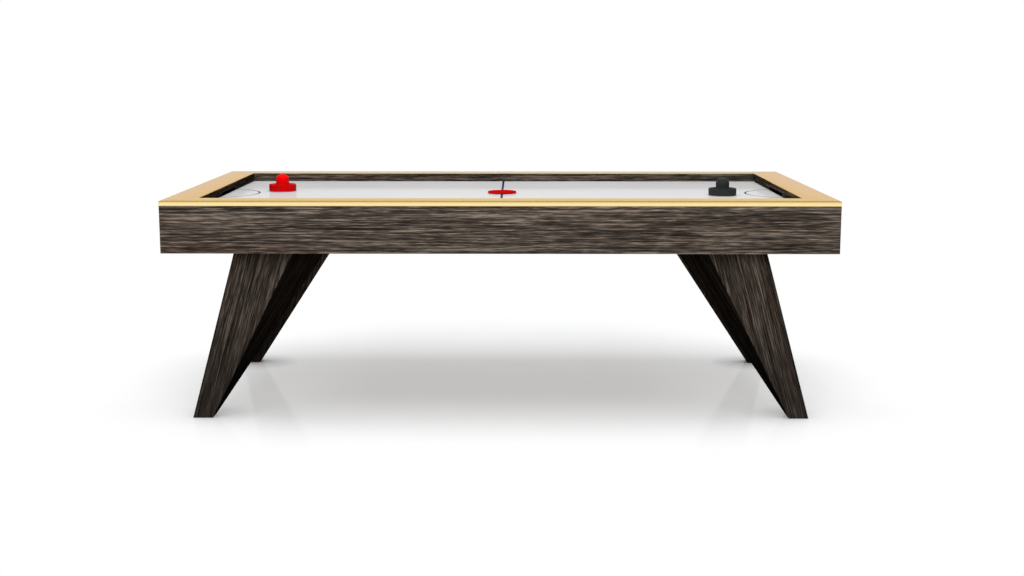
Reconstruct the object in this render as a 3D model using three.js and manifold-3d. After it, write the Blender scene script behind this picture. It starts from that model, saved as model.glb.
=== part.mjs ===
// Air hockey table: four faceted tapered legs, a veneered cabinet, brass-capped rails,
// a playing bed over an air plenum, a centrifugal blower, two mallets and a puck.
// Millimetres. +Z is up and +X runs along the length, with left at -X, right at +X,
// front at -Y and back at +Y. The floor is z = 0, and the origin is the middle of the
// table's footprint.
import * as THREE from "three";
import { mergeVertices } from "three/addons/utils/BufferGeometryUtils.js";
import { ConvexGeometry } from "three/addons/geometries/ConvexGeometry.js";
import Module from "manifold-3d";

const wasm = await Module();
wasm.setup();

// ---------------------------------------------------------------- driving dimensions
// HX and HY are half sizes along x and y; Z_ names are heights above the floor.
const LENGTH = 2438; // over the brass caps
const WIDTH = 1321;
const HEIGHT = 832.5; // floor to the top of the caps
const HX = LENGTH / 2;
const HY = WIDTH / 2;
const FIT = 0.25; // clearance between neighbouring parts
const OVERCUT = 5; // how far cutting tools run past a face

const CAP_T = 2.5; // brass sheet
const CAP_LIP = 18.5; // height of the outer brass lip
const CAP_R = 5; // outer corner radius of the brass angle
const Z_CAP = HEIGHT - CAP_T; // underside of the cap sheet
const Z_LIP = HEIGHT - CAP_LIP; // underside of the lip, top of the aprons
const MITRE = 0.125; // half of the joint line at every mitre

const BED_HX = 1100; // open playing area
const BED_HY = 554.5;
const Z_BED = 797; // playing surface
const BED_T = 12;
const PLENUM_HX = 1140; // bed, plenum frame and plenum floor run under the rails
const PLENUM_HY = 597;
const PLENUM_H = 44;
const PLENUM_FLOOR_T = 9;
const PLENUM_WALL = 22;
const Z_PLENUM = Z_BED - BED_T; // underside of the bed
const Z_PFLOOR = Z_PLENUM - PLENUM_H; // top of the plenum floor
const Z_BEAM = Z_PFLOOR - PLENUM_FLOOR_T; // top of the cross beams

const APRON_T = 19;
const APRON_IN = 0.5; // how far the apron faces sit inside the brass
const AX = HX - APRON_IN; // outer faces of the aprons
const AY = HY - APRON_IN;
const IX = AX - APRON_T; // inner faces of the aprons
const IY = AY - APRON_T;
const Z_APRON = 642.5; // bottom edge of the aprons
const BASE_T = 12;
const PLATE_T = 6; // steel plate on each leg
const Z_BASE = Z_APRON + PLATE_T; // underside of the base panel
const Z_BASE_TOP = Z_BASE + BASE_T;

const GOAL_HALF = 145; // half width of the goal slot
const GOAL_H = 17; // height of the goal slot above the bed

const FACES = [["front", -1], ["back", 1]];
const ENDS = [["left", -1], ["right", 1]];
const CORNERS = FACES.flatMap(([face, sideY]) =>
  ENDS.map(([end, sideX]) => ({ name: `${face}_${end}`, sideX, sideY }))
);

// ---------------------------------------------------------------- materials
const standard = (settings) => new THREE.MeshStandardMaterial(settings);
const WOOD = standard({ color: 0x554b42, roughness: 0.55, metalness: 0 });
const BRASS = standard({ color: 0xd9bd84, roughness: 0.32, metalness: 1 });
const BED = standard({ color: 0xdcdad9, roughness: 0.25, metalness: 0 });
const PLY = standard({ color: 0xb89a6a, roughness: 0.75, metalness: 0 });
const STEEL = standard({ color: 0x8b8f94, roughness: 0.45, metalness: 1 });
const BLACK = standard({ color: 0x141416, roughness: 0.5, metalness: 0 });
const ALU = standard({ color: 0xb9bcc0, roughness: 0.4, metalness: 1 });
const RUBBER = standard({ color: 0x1b1b1c, roughness: 0.85, metalness: 0 });
const RED = standard({ color: 0xe00c0c, roughness: 0.22, metalness: 0 });
const DARK = standard({ color: 0x33353a, roughness: 0.28, metalness: 0 });
const FELT = standard({ color: 0xd8d4c8, roughness: 0.95, metalness: 0 });

const group = new THREE.Group();
const put = (name, geometry, material) => {
  const mesh = new THREE.Mesh(geometry, material);
  mesh.name = name;
  group.add(mesh);
};

// ---------------------------------------------------------------- solids
const keepPositions = (geometry) => {
  for (const name of Object.keys(geometry.attributes))
    if (name !== "position") geometry.deleteAttribute(name);
};

const solid = (geometry) => {
  const bare = geometry.clone();
  keepPositions(bare);
  const welded = mergeVertices(bare, 1e-5);
  return new wasm.Manifold(
    new wasm.Mesh({
      numProp: 3,
      vertProperties: new Float32Array(welded.attributes.position.array),
      triVerts: new Uint32Array(welded.index.array),
    })
  );
};

const geometryOf = (manifold) => {
  const mesh = manifold.getMesh();
  const geometry = new THREE.BufferGeometry();
  const positions = new Float32Array(mesh.vertProperties);
  geometry.setAttribute("position", new THREE.BufferAttribute(positions, 3));
  geometry.setIndex(new THREE.BufferAttribute(new Uint32Array(mesh.triVerts), 1));
  geometry.computeVertexNormals();
  return geometry;
};

const subtractAll = (body, tools) =>
  tools.reduce((rest, tool) => rest.subtract(solid(tool)), body);
const cut = (geometry, ...tools) => geometryOf(subtractAll(solid(geometry), tools));
const join = (first, ...others) =>
  geometryOf(others.reduce((sum, other) => sum.add(solid(other)), solid(first)));

// scale by +1 or -1 along x and y, keeping the faces outward
const flip = (geometry, sideX, sideY) => {
  const out = geometry.index ? geometry.toNonIndexed() : geometry.clone();
  out.scale(sideX, sideY, 1);
  if (sideX * sideY < 0) {
    const values = out.attributes.position.array;
    for (let i = 0; i < values.length; i += 9)
      for (let k = i + 3; k < i + 6; k++)
        [values[k], values[k + 3]] = [values[k + 3], values[k]];
  }
  keepPositions(out);
  out.computeVertexNormals();
  return out;
};
// a piece drawn at the right end, moved to the given end
const atEnd = (geometry, side) => (side > 0 ? geometry : flip(geometry, -1, 1));
// a range on the positive side of an axis, moved to the given side
const span = (side, near, far) => (side > 0 ? [near, far] : [-far, -near]);

// ---------------------------------------------------------------- outlines and bodies
const lerp = (a, b, t) => a + (b - a) * t;
const vectors = (points) => points.map(([x, y]) => new THREE.Vector2(x, y));
const shapeOf = (points, holes = []) => {
  const shape = new THREE.Shape(vectors(points));
  for (const hole of holes) shape.holes.push(new THREE.Path(vectors(hole)));
  return shape;
};
const basis = (...axes) =>
  new THREE.Matrix4().makeBasis(...axes.map((axis) => new THREE.Vector3(...axis)));
const STAND_ALONG_X = basis([0, 1, 0], [0, 0, 1], [1, 0, 0]);
const STAND_ALONG_Y = basis([1, 0, 0], [0, 0, 1], [0, -1, 0]);

// prisms along each axis; the outline is (x, y), (y, z) and (x, z) in turn
const prismZ = (points, z0, z1, holes) =>
  new THREE.ExtrudeGeometry(shapeOf(points, holes), { depth: z1 - z0, bevelEnabled: false })
    .translate(0, 0, z0);
const prismX = (points, x0, x1, holes) =>
  prismZ(points, x0, x1, holes).applyMatrix4(STAND_ALONG_X);
const prismY = (points, y0, y1) => prismZ(points, -y1, -y0).applyMatrix4(STAND_ALONG_Y);
const box = (x0, x1, y0, y1, z0, z1) =>
  new THREE.BoxGeometry(x1 - x0, y1 - y0, z1 - z0)
    .translate((x0 + x1) / 2, (y0 + y1) / 2, (z0 + z1) / 2);

const rect = (a0, a1, b0, b1) => [[a0, b0], [a1, b0], [a1, b1], [a0, b1]];
const centredRect = (halfA, halfB) => rect(-halfA, halfA, -halfB, halfB);
const arc = (x, y, radius, from, to, steps) =>
  Array.from({ length: steps + 1 }, (_, i) => {
    const angle = lerp(from, to, i / steps);
    return [x + radius * Math.cos(angle), y + radius * Math.sin(angle)];
  });
const rounded = (a0, a1, b0, b1, radius, steps = 5) =>
  [
    [a1 - radius, b1 - radius],
    [a0 + radius, b1 - radius],
    [a0 + radius, b0 + radius],
    [a1 - radius, b0 + radius],
  ].flatMap(([a, b], i) =>
    arc(a, b, radius, (i * Math.PI) / 2, ((i + 1) * Math.PI) / 2, steps)
  );
const circle = (x, y, radius, segments = 48) =>
  arc(x, y, radius, 0, 2 * Math.PI, segments).slice(0, -1);
const sector = (r0, r1, from, to, steps) => [
  ...arc(0, 0, r1, from, to, steps),
  ...arc(0, 0, r0, to, from, steps),
];

const doubleArea = (points) =>
  points.reduce((sum, [x, y], i) => {
    const [nextX, nextY] = points[(i + 1) % points.length];
    return sum + x * nextY - nextX * y;
  }, 0);
// turned about the vertical through (x, y); profile is [radius, z], in either direction
const turned = (profile, segments, [x, y] = [0, 0]) => {
  const points = doubleArea(profile) < 0 ? profile.slice().reverse() : profile;
  return new THREE.LatheGeometry(vectors(points), segments)
    .rotateX(Math.PI / 2)
    .translate(x, y, 0);
};
const cylinder = (radius, z0, z1, segments, centre) =>
  turned([[0, z0], [radius, z0], [radius, z1], [0, z1]], segments, centre);
const tube = (r0, r1, z0, z1, segments) =>
  turned([[r0, z0], [r1, z0], [r1, z1], [r0, z1], [r0, z0]], segments);

// plan of a mitred member lying along x: half length and |y| of its outer edge, then inner
const mitred = (side, outerHalf, outerY, innerHalf, innerY) => [
  [-outerHalf + MITRE, side * outerY],
  [outerHalf - MITRE, side * outerY],
  [innerHalf - MITRE, side * innerY],
  [-innerHalf + MITRE, side * innerY],
];
const swapAxes = (points) => points.map(([x, y]) => [y, x]);

// ---------------------------------------------------------------- rails
// Rail profiles are [distance inwards from the outer face, z].
const RAIL_IN = 4.75; // outer face of the wood
const RAIL_CHAMFER = [2.5, 4]; // across, down
const MITRE_TOOL_Z = [700, 900]; // taller than any rail

// brass angle: a sheet over the rail with a rounded edge and an outer lip
const capProfile = (width) => [
  [0, Z_LIP],
  ...arc(CAP_R, HEIGHT - CAP_R, CAP_R, Math.PI, Math.PI / 2, 5),
  [width, HEIGHT],
  [width, Z_CAP],
  ...arc(CAP_R, HEIGHT - CAP_R, CAP_R - CAP_T, Math.PI / 2, Math.PI, 3),
  [CAP_T, Z_LIP],
];
// wooden core, stepped to sit on the bed and on top of the apron
const coreProfile = (width) => {
  const step = APRON_IN + APRON_T + FIT;
  return [
    [RAIL_IN, Z_LIP],
    [RAIL_IN, Z_CAP - RAIL_CHAMFER[1]],
    [RAIL_IN + RAIL_CHAMFER[0], Z_CAP],
    [width, Z_CAP],
    [width, Z_BED],
    [step, Z_BED],
    [step, Z_LIP],
  ];
};

const addRail = (name, side, alongX, coreTools) => {
  const [half, outer, bedHalf, inner] = alongX
    ? [HX, HY, BED_HX, BED_HY]
    : [HY, HX, BED_HY, BED_HX];
  const plan = mitred(side, half, outer, bedHalf, inner);
  const mitreTool = solid(prismZ(alongX ? plan : swapAxes(plan), ...MITRE_TOOL_Z));
  const prism = alongX ? prismX : prismY;
  const mitredBar = (profile) => {
    const outline = profile.map(([inwards, z]) => [side * (outer - inwards), z]);
    return solid(prism(outline, -half, half)).intersect(mitreTool);
  };
  put(`rail_cap_${name}`, geometryOf(mitredBar(capProfile(outer - inner))), BRASS);
  const core = subtractAll(mitredBar(coreProfile(outer - inner)), coreTools);
  put(`rail_${name}`, geometryOf(core), WOOD);
};

// thin black frame that lines the top and sides of the goal mouth
const addGoalLiner = (name, side) => {
  const wall = 2.5;
  const half = GOAL_HALF - FIT;
  const top = Z_BED + GOAL_H - FIT;
  const bottom = Z_BED + FIT;
  const outline = [
    [-half, bottom], [-half + wall, bottom], [-half + wall, top - wall],
    [half - wall, top - wall], [half - wall, bottom], [half, bottom],
    [half, top], [-half, top],
  ];
  const liner = prismX(outline, BED_HX + FIT, PLENUM_HX - FIT);
  put(`goal_liner_${name}`, atEnd(liner, side), BLACK);
};

for (const [name, side] of FACES) addRail(name, side, true, []);
for (const [name, side] of ENDS) {
  // clear of the ends of the long aprons
  const apronTools = FACES.map(([, face]) =>
    box(-HX - OVERCUT, HX + OVERCUT, ...span(face, IY - FIT, HY + OVERCUT), Z_BED - OVERCUT, Z_LIP)
  );
  const goalX = span(side, BED_HX - OVERCUT, IX);
  const goalTool = box(...goalX, -GOAL_HALF, GOAL_HALF, Z_BED - OVERCUT, Z_BED + GOAL_H);
  addRail(name, side, false, [...apronTools, goalTool]);
  addGoalLiner(name, side);
}

// ---------------------------------------------------------------- cabinet
const RETURN = { half: 90, z0: 672, z1: 752, radius: 22 }; // opening in each end apron
const returnOutline = ({ half, z0, z1, radius }, margin) =>
  rounded(-half + margin, half - margin, z0 + margin, z1 - margin, radius - margin);

// power switch on the right-hand end; half sizes are along y and z
const SWITCH = { y: 430, z: 716, recess: [13, 18], hole: [9.25, 14.5] };
const aroundSwitch = ([halfY, halfZ], margin = 0) => [
  SWITCH.y - halfY + margin,
  SWITCH.y + halfY - margin,
  SWITCH.z - halfZ + margin,
  SWITCH.z + halfZ - margin,
];
const recessOutline = (margin) => rounded(...aroundSwitch(SWITCH.recess, margin), 3, 3);

const addEndApron = (name, side) => {
  const plan = swapAxes(mitred(side, AY, AX, IY, IX));
  const tools = [prismX(returnOutline(RETURN, 0), ...span(side, IX - OVERCUT, AX + OVERCUT))];
  if (side > 0)
    tools.push(
      prismX(recessOutline(0), AX - 5, AX + OVERCUT),
      prismX(rect(...aroundSwitch(SWITCH.hole)), IX - OVERCUT, AX + OVERCUT)
    );
  put(`apron_${name}`, cut(prismZ(plan, Z_APRON, Z_LIP), ...tools), WOOD);
};

// post in each cabinet corner, with its outer edge chamfered
const addCornerBlock = ({ name, sideX, sideY }) => {
  const chamfer = 6;
  const [x0, x1] = [IX - 50, IX - FIT];
  const [y0, y1] = [IY - 44, IY - FIT];
  const plan = [[x0, y0], [x1, y0], [x1, y1 - chamfer], [x1 - chamfer, y1], [x0, y1]];
  const post = prismZ(plan, Z_BASE_TOP, Z_BED);
  put(`corner_block_${name}`, flip(post, sideX, sideY), PLY);
};

// beam across the cabinet, drilled for the wiring
const BEAM = { x: 850, halfWidth: 30, holeY: 320, holeZ: 694, holeR: 9 };
const addCrossBeam = (name, side) => {
  const holes = [1, -1].map((hand) => circle(hand * BEAM.holeY, BEAM.holeZ, BEAM.holeR, 16));
  const outline = rect(-IY + FIT, IY - FIT, Z_BASE_TOP, Z_BEAM);
  const beam = prismX(outline, BEAM.x - BEAM.halfWidth, BEAM.x + BEAM.halfWidth, holes);
  put(`cross_beam_${name}`, atEnd(beam, side), PLY);
};

for (const [name, side] of FACES)
  put(`apron_${name}`, prismZ(mitred(side, AX, AY, IX, IY), Z_APRON, Z_LIP), WOOD);
for (const [name, side] of ENDS) addEndApron(name, side);
CORNERS.forEach(addCornerBlock);
const INLET_R = 95; // hole in the base panel under the blower
put(
  "base_panel",
  prismZ(centredRect(IX - FIT, IY - FIT), Z_BASE, Z_BASE_TOP, [circle(0, 0, INLET_R)]),
  PLY
);
for (const [name, side] of ENDS) addCrossBeam(name, side);

// ---------------------------------------------------------------- playing bed and plenum
const PLENUM_PLAN = centredRect(PLENUM_HX, PLENUM_HY);
const OUTLET_R = 141; // hole in the plenum floor over the blower
const PLENUM_INSIDE = centredRect(PLENUM_HX - PLENUM_WALL, PLENUM_HY - PLENUM_WALL);
put("playing_bed", prismZ(PLENUM_PLAN, Z_PLENUM, Z_BED), BED);
put("plenum_frame", prismZ(PLENUM_PLAN, Z_PFLOOR, Z_PLENUM, [PLENUM_INSIDE]), PLY);
put("plenum_floor", prismZ(PLENUM_PLAN, Z_BEAM, Z_PFLOOR, [circle(0, 0, OUTLET_R)]), PLY);

const RIB = { stations: [-760, -380, 380, 760], thickness: 18 };
const RIB_WINDOW = { count: 6, pitch: 184, half: 62, margin: 12, radius: 6 };
const addRib = (x, i) => {
  const { count, pitch, half, margin, radius } = RIB_WINDOW;
  const windows = Array.from({ length: count }, (_, k) => {
    const y = (k - (count - 1) / 2) * pitch;
    return rounded(y - half, y + half, Z_PFLOOR + margin, Z_PLENUM - margin, radius, 1);
  });
  const halfLength = PLENUM_HY - PLENUM_WALL - FIT;
  const outline = rect(-halfLength, halfLength, Z_PFLOOR, Z_PLENUM);
  const rib = prismX(outline, x - RIB.thickness / 2, x + RIB.thickness / 2, windows);
  put(`plenum_rib_${i + 1}`, rib, PLY);
};
RIB.stations.forEach(addRib);

// ---------------------------------------------------------------- goal boxes
// open-topped box between the plenum and the end apron, open towards the return opening
const addGoalBox = (name, side) => {
  const [x0, x1] = [PLENUM_HX + 0.5, IX - FIT];
  const half = 150;
  const top = Z_BED - 0.5;
  const wall = 3;
  const inside = half - wall;
  const body = cut(
    box(x0, x1, -half, half, Z_BASE_TOP, top),
    box(x0 + wall, x1 - wall, -inside, inside, Z_BASE_TOP + wall, top + OVERCUT),
    prismX(returnOutline(RETURN, 2), x1 - wall - 2, x1 + OVERCUT)
  );
  put(`goal_box_${name}`, atEnd(body, side), BLACK);
};
for (const [name, side] of ENDS) addGoalBox(name, side);

// ---------------------------------------------------------------- legs
// [x, y] of the back right leg's corners, counterclockwise seen from above, at the floor
// and at the top; the first two lie on the back face
const LEG_FOOT = [[1154.25, 524], [1081.25, 524], [1080.5, 464], [1154.25, 464]];
const LEG_TOP = [[978, 524], [757.25, 524], [650.5, 240], [978, 240]];
const LEG_WALL = 18;
const Z_LEG = 2; // the leg's end grain clears the floor, the glide carries it
const Z_HOLLOW = 95; // the hollow stops above the solid foot that takes the glide's thread
const Z_OVER_LEG = Z_APRON + 10;
const GLIDE = [1117.5, 494]; // centre of the levelling glide

const legSection = (z) =>
  LEG_FOOT.map(([x, y], i) => {
    const t = z / Z_APRON;
    return [lerp(x, LEG_TOP[i][0], t), lerp(y, LEG_TOP[i][1], t)];
  });
// move every side of a counterclockwise convex outline inwards
const inset = (points, distance) => {
  const edges = points.map(([x, y], i) => {
    const [nextX, nextY] = points[(i + 1) % points.length];
    const [runX, runY] = [nextX - x, nextY - y];
    const length = Math.hypot(runX, runY);
    return {
      x: x + (-runY / length) * distance,
      y: y + (runX / length) * distance,
      runX,
      runY,
    };
  });
  return edges.map((edge, i) => {
    const last = edges[(i + edges.length - 1) % edges.length];
    const cross = last.runX * edge.runY - last.runY * edge.runX;
    const t = ((edge.x - last.x) * edge.runY - (edge.y - last.y) * edge.runX) / cross;
    return [last.x + last.runX * t, last.y + last.runY * t];
  });
};
// convex body around outlines given as [points, z]
const hull = (...rings) =>
  new ConvexGeometry(
    rings.flatMap(([points, z]) => points.map(([x, y]) => new THREE.Vector3(x, y, z)))
  );

const leg = cut(
  hull([legSection(Z_LEG), Z_LEG], [legSection(Z_APRON), Z_APRON]),
  hull(
    [inset(legSection(Z_HOLLOW), LEG_WALL), Z_HOLLOW],
    [inset(legSection(Z_OVER_LEG), LEG_WALL), Z_OVER_LEG]
  ),
  cylinder(26, -OVERCUT, 9, 32, GLIDE), // recess for the glide's foot
  cylinder(5.5, -OVERCUT, 70, 16, GLIDE) // bore for its stem
);
const legPlate = prismZ(
  inset(legSection(Z_APRON), 5),
  Z_APRON,
  Z_BASE,
  [circle(861, 392, 46, 32)]
);
const GLIDE_PROFILE = [
  [0, 0], [22, 0], [24, 1.25], [24, 5], [22.5, 6.5], [5, 6.5], [5, 61], [4, 62], [0, 62],
];
const glide = turned(GLIDE_PROFILE, 24, GLIDE);
for (const { name, sideX, sideY } of CORNERS) {
  put(`leg_${name}`, flip(leg, sideX, sideY), WOOD);
  put(`leg_plate_${name}`, flip(legPlate, sideX, sideY), STEEL);
  put(`glide_${name}`, flip(glide, sideX, sideY), RUBBER);
}

// ---------------------------------------------------------------- blower
const BLOWER_R = 150;
const BLOWER_WALL = 3;
const BLOWER_IN = BLOWER_R - BLOWER_WALL;
const FLANGE_R = 162; // housing flange, cover and gasket
const Z_COVER = 725;
const Z_COVER_TOP = 728;
const Z_FLANGE = Z_COVER - FIT;
const Z_MOTOR = Z_COVER_TOP + FIT;

// profiles are [radius, z]
const HOUSING_PROFILE = [
  [60, 664], [BLOWER_R, 664], [BLOWER_R, 721], [FLANGE_R, 721], [FLANGE_R, Z_FLANGE],
  [BLOWER_IN, Z_FLANGE], [BLOWER_IN, 667], [63, 667], [63, 670], [60, 670], [60, 664],
];
const CASING_PROFILE = [
  [0, 770], [37, 770], [42, 765], [42, Z_MOTOR], [10, Z_MOTOR], [10, 731], [39, 731],
  [39, 764], [36, 767], [0, 767],
];
const ROTOR_PROFILE = [
  [0, 678], [4, 678], [4, 740], [30, 740], [30, 758], [4, 758], [4, 764], [0, 764],
];
put("blower_housing", turned(HOUSING_PROFILE, 40), ALU);

// sectors cut all the way round, each end drawn in by an angle in radians
const ringOfSectors = (count, r0, r1, margin, steps) =>
  Array.from({ length: count }, (_, i) => {
    const pitch = (2 * Math.PI) / count;
    return sector(r0, r1, i * pitch + margin, (i + 1) * pitch - margin, steps);
  });
const coverHoles = [...ringOfSectors(6, 104, 136, 0.1, 4), circle(0, 0, 10, 24)];
const flangeDisc = circle(0, 0, FLANGE_R);
put("blower_cover", prismZ(flangeDisc, Z_COVER, Z_COVER_TOP, coverHoles), ALU);
put("blower_gasket", prismZ(flangeDisc, Z_MOTOR, Z_BEAM, [circle(0, 0, 142)]), RUBBER);
put("motor_casing", turned(CASING_PROFILE, 28), STEEL);
put("motor_bearing", tube(4.5, 9.6, 728.5, 736, 24), STEEL);
put("motor_rotor", turned(ROTOR_PROFILE, 24), STEEL);

// swept blades between an upper plate with a coned hub and a lower shroud ring
const FAN_R = 95;
const FAN_PLATE_PROFILE = [
  [4.4, 690], [12, 690], [14, 700], [40, 714], [FAN_R, 714], [FAN_R, 716.5],
  [4.4, 716.5], [4.4, 690],
];
const BLADE = { count: 16, innerR: 64, outerR: FAN_R - 1, halfThickness: 0.9, steps: 2 };
const fanBlade = (k) => {
  const start = (k * 2 * Math.PI) / BLADE.count;
  const face = (hand) =>
    Array.from({ length: BLADE.steps + 1 }, (_, i) => {
      const u = i / BLADE.steps;
      const radius = lerp(BLADE.innerR, BLADE.outerR, u);
      const sweep = 0.42 * u + 0.1 * u * u; // radians
      const angle = start - sweep + (hand * BLADE.halfThickness) / radius;
      return [radius * Math.cos(angle), radius * Math.sin(angle)];
    });
  return prismZ([...face(-1), ...face(1).reverse()], 675.5, 715);
};
const fanPlate = turned(FAN_PLATE_PROFILE, 32);
const shroud = tube(62, FAN_R, 674, 676.5, 32);
const blades = Array.from({ length: BLADE.count }, (_, k) => fanBlade(k));
put("fan_impeller", join(fanPlate, shroud, ...blades), BLACK);

// rings of grille slots: inner radius, outer radius, angular margin
const GRILLE_RINGS = [[20, 36, 0.1], [42, 60, 0.06], [66, 86, 0.04]];
const grilleSlots = GRILLE_RINGS.flatMap((ring) => ringOfSectors(8, ...ring, 2));
const Z_GRILLE = Z_BASE - FIT; // top of the grille
put("inlet_grille", prismZ(circle(0, 0, 108), Z_GRILLE - 3, Z_GRILLE, grilleSlots), BLACK);

// ---------------------------------------------------------------- power switch and wiring
const SWITCH_FACE = AX - 3.25;
const addSwitchBezel = () => {
  const flange = prismX(recessOutline(FIT), AX - 4.75, SWITCH_FACE);
  const barrel = prismX(rect(...aroundSwitch(SWITCH.hole, FIT)), AX - 18, AX - 4.5);
  const opening = prismX(rect(...aroundSwitch([7, 12.4])), AX - 30, AX + OVERCUT);
  const body = solid(flange).add(solid(barrel)).subtract(solid(opening));
  put("switch_bezel", geometryOf(body), BLACK);
};

// [outwards from the bezel face, along the rocker]
const ROCKER_PROFILE = [
  [1.2, -11], [0.2, -6], [-0.3, 0], [0.2, 6], [1.2, 11], [-2.4, 11], [-6.5, 8.5], [-9, 4],
  [-9, -4], [-6.5, -8.5], [-2.4, -11],
];
const addSwitchRocker = () => {
  const pivot = -4.2; // outwards from the bezel face
  const halfWidth = 6.25;
  const tilt = THREE.MathUtils.degToRad(8);
  const [cos, sin] = [Math.cos(tilt), Math.sin(tilt)];
  const tilted = ROCKER_PROFILE.map(([out, along]) => [
    SWITCH_FACE + pivot + (out - pivot) * cos + along * sin,
    SWITCH.z - (out - pivot) * sin + along * cos,
  ]);
  put("switch_rocker", prismY(tilted, SWITCH.y - halfWidth, SWITCH.y + halfWidth), RED);
};

// [x, y, z] from the switch, through the right cross beam, to the blower
const CABLE_PATH = [
  [1196, SWITCH.y, SWITCH.z], [1180, 428, 710], [1120, 420, 690], [1000, 380, 686],
  [900, 322, 693.5], [BEAM.x, BEAM.holeY, BEAM.holeZ], [800, 318, 693.5], [600, 250, 674],
  [380, 150, 672], [220, 70, 680], [163, 44, 694],
];
const addPowerCable = () => {
  const points = CABLE_PATH.map((point) => new THREE.Vector3(...point));
  const extrudePath = new THREE.CatmullRomCurve3(points, false, "centripetal");
  const section = shapeOf(circle(0, 0, 3.5, 6));
  const settings = { steps: 34, bevelEnabled: false, extrudePath };
  put("power_cable", new THREE.ExtrudeGeometry(section, settings), RUBBER);
};
addSwitchBezel();
addSwitchRocker();
addPowerCable();

// ---------------------------------------------------------------- mallets and puck
const Z_PLAY = Z_BED + 0.5; // underside of the felts and the puck
const Z_MALLET = Z_PLAY + 2;
const MALLET_R = 55;
const MALLETS = [
  { name: "left", centre: [-898, 95], material: RED },
  { name: "right", centre: [875, -74], material: DARK },
];
// [radius, height above the mallet's underside]
const MALLET_PROFILE = [
  // hollow underside, closed by the felt
  [0, 61.8], [12.3, 60.2], [22, 51.5], [22.5, 14], [27.6, 9.5], [48.6, 9.5], [48.6, 0],
  // outside, from the rim up over the knob
  [MALLET_R - 1.5, 0], [MALLET_R, 1.5], [MALLET_R, 24.4], [MALLET_R - 1.4, 25.8],
  [MALLET_R - 5, 25.8], [40, 17.4], [33, 17.6], [27.6, 25.4], [27.8, 46.6], [26, 55.4],
  [21.5, 61.5], [15, 64.9], [8, 66.1], [0, 66.3],
];
// [radius, height above the felt's underside]
const FELT_PROFILE = [[0, 0], [50.5, 0], [51.5, 0.75], [51.5, 1.75], [0, 1.75]];
const raised = (profile, base) => profile.map(([radius, z]) => [radius, base + z]);
for (const { name, centre, material } of MALLETS) {
  put(`mallet_${name}`, turned(raised(MALLET_PROFILE, Z_MALLET), 32, centre), material);
  put(`mallet_felt_${name}`, turned(raised(FELT_PROFILE, Z_PLAY), 32, centre), FELT);
}

const PUCK_R = 57.25;
const PUCK_H = 8;
const PUCK_CENTRE = [0, 8];
// [radius, height above the puck's underside]; both faces are recessed inside the rim
const PUCK_PROFILE = [
  [0, 0.6], [PUCK_R - 9, 0.6], [PUCK_R - 7.5, 0], [PUCK_R - 1.6, 0], [PUCK_R, 1.8],
  [PUCK_R, PUCK_H - 1.8], [PUCK_R - 1.6, PUCK_H], [PUCK_R - 7.5, PUCK_H],
  [PUCK_R - 9, PUCK_H - 0.6], [0, PUCK_H - 0.6],
];
put("puck", turned(raised(PUCK_PROFILE, Z_PLAY), 40, PUCK_CENTRE), RED);

export default group;
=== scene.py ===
"""An air hockey table with two mallets, a puck, a blower, a power switch and wiring.

The table stands on z = 0 with its length along x and its centre over the origin.
Left is -x, right is +x, front is -y and back is +y. The camera looks from the front.
Lengths are in metres, and profiles of turned pieces are in millimetres.
"""
import math
import bmesh
import bpy
from mathutils import Matrix, Vector
from mathutils.geometry import delaunay_2d_cdt


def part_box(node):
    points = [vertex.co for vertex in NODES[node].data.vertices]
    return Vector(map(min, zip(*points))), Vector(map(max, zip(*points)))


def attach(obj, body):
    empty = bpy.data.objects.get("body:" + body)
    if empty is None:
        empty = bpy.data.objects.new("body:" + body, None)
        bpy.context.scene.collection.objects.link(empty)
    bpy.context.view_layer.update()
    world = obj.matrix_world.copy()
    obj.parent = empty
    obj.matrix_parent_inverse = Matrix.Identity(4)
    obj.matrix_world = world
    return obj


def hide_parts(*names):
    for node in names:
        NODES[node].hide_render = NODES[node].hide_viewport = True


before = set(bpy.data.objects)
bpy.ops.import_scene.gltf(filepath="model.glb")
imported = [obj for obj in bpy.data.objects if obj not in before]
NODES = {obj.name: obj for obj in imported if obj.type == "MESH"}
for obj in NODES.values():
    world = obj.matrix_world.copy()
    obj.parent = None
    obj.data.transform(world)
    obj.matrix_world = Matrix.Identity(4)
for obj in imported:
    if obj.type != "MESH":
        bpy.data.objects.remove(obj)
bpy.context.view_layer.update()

MM = 0.001
ENDS = ("front", "back")
SIDES = ("left", "right")
ALONG_X, ALONG_Y, ALONG_Z = (1, 0, 0), (0, 1, 0), (0, 0, 1)
WHITE = (1.0, 1.0, 1.0, 1)


# ------------------------------------------------------------------ shader helpers
def srgb(red, green, blue, factor=1.0, lift=0.0):
    """Linear colour from 0-255 channels, each scaled by factor and raised by lift."""

    def linear(channel):
        level = (channel * factor + lift) / 255.0
        return level / 12.92 if level <= 0.04045 else ((level + 0.055) / 1.055) ** 2.4

    return (linear(red), linear(green), linear(blue), 1.0)


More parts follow.
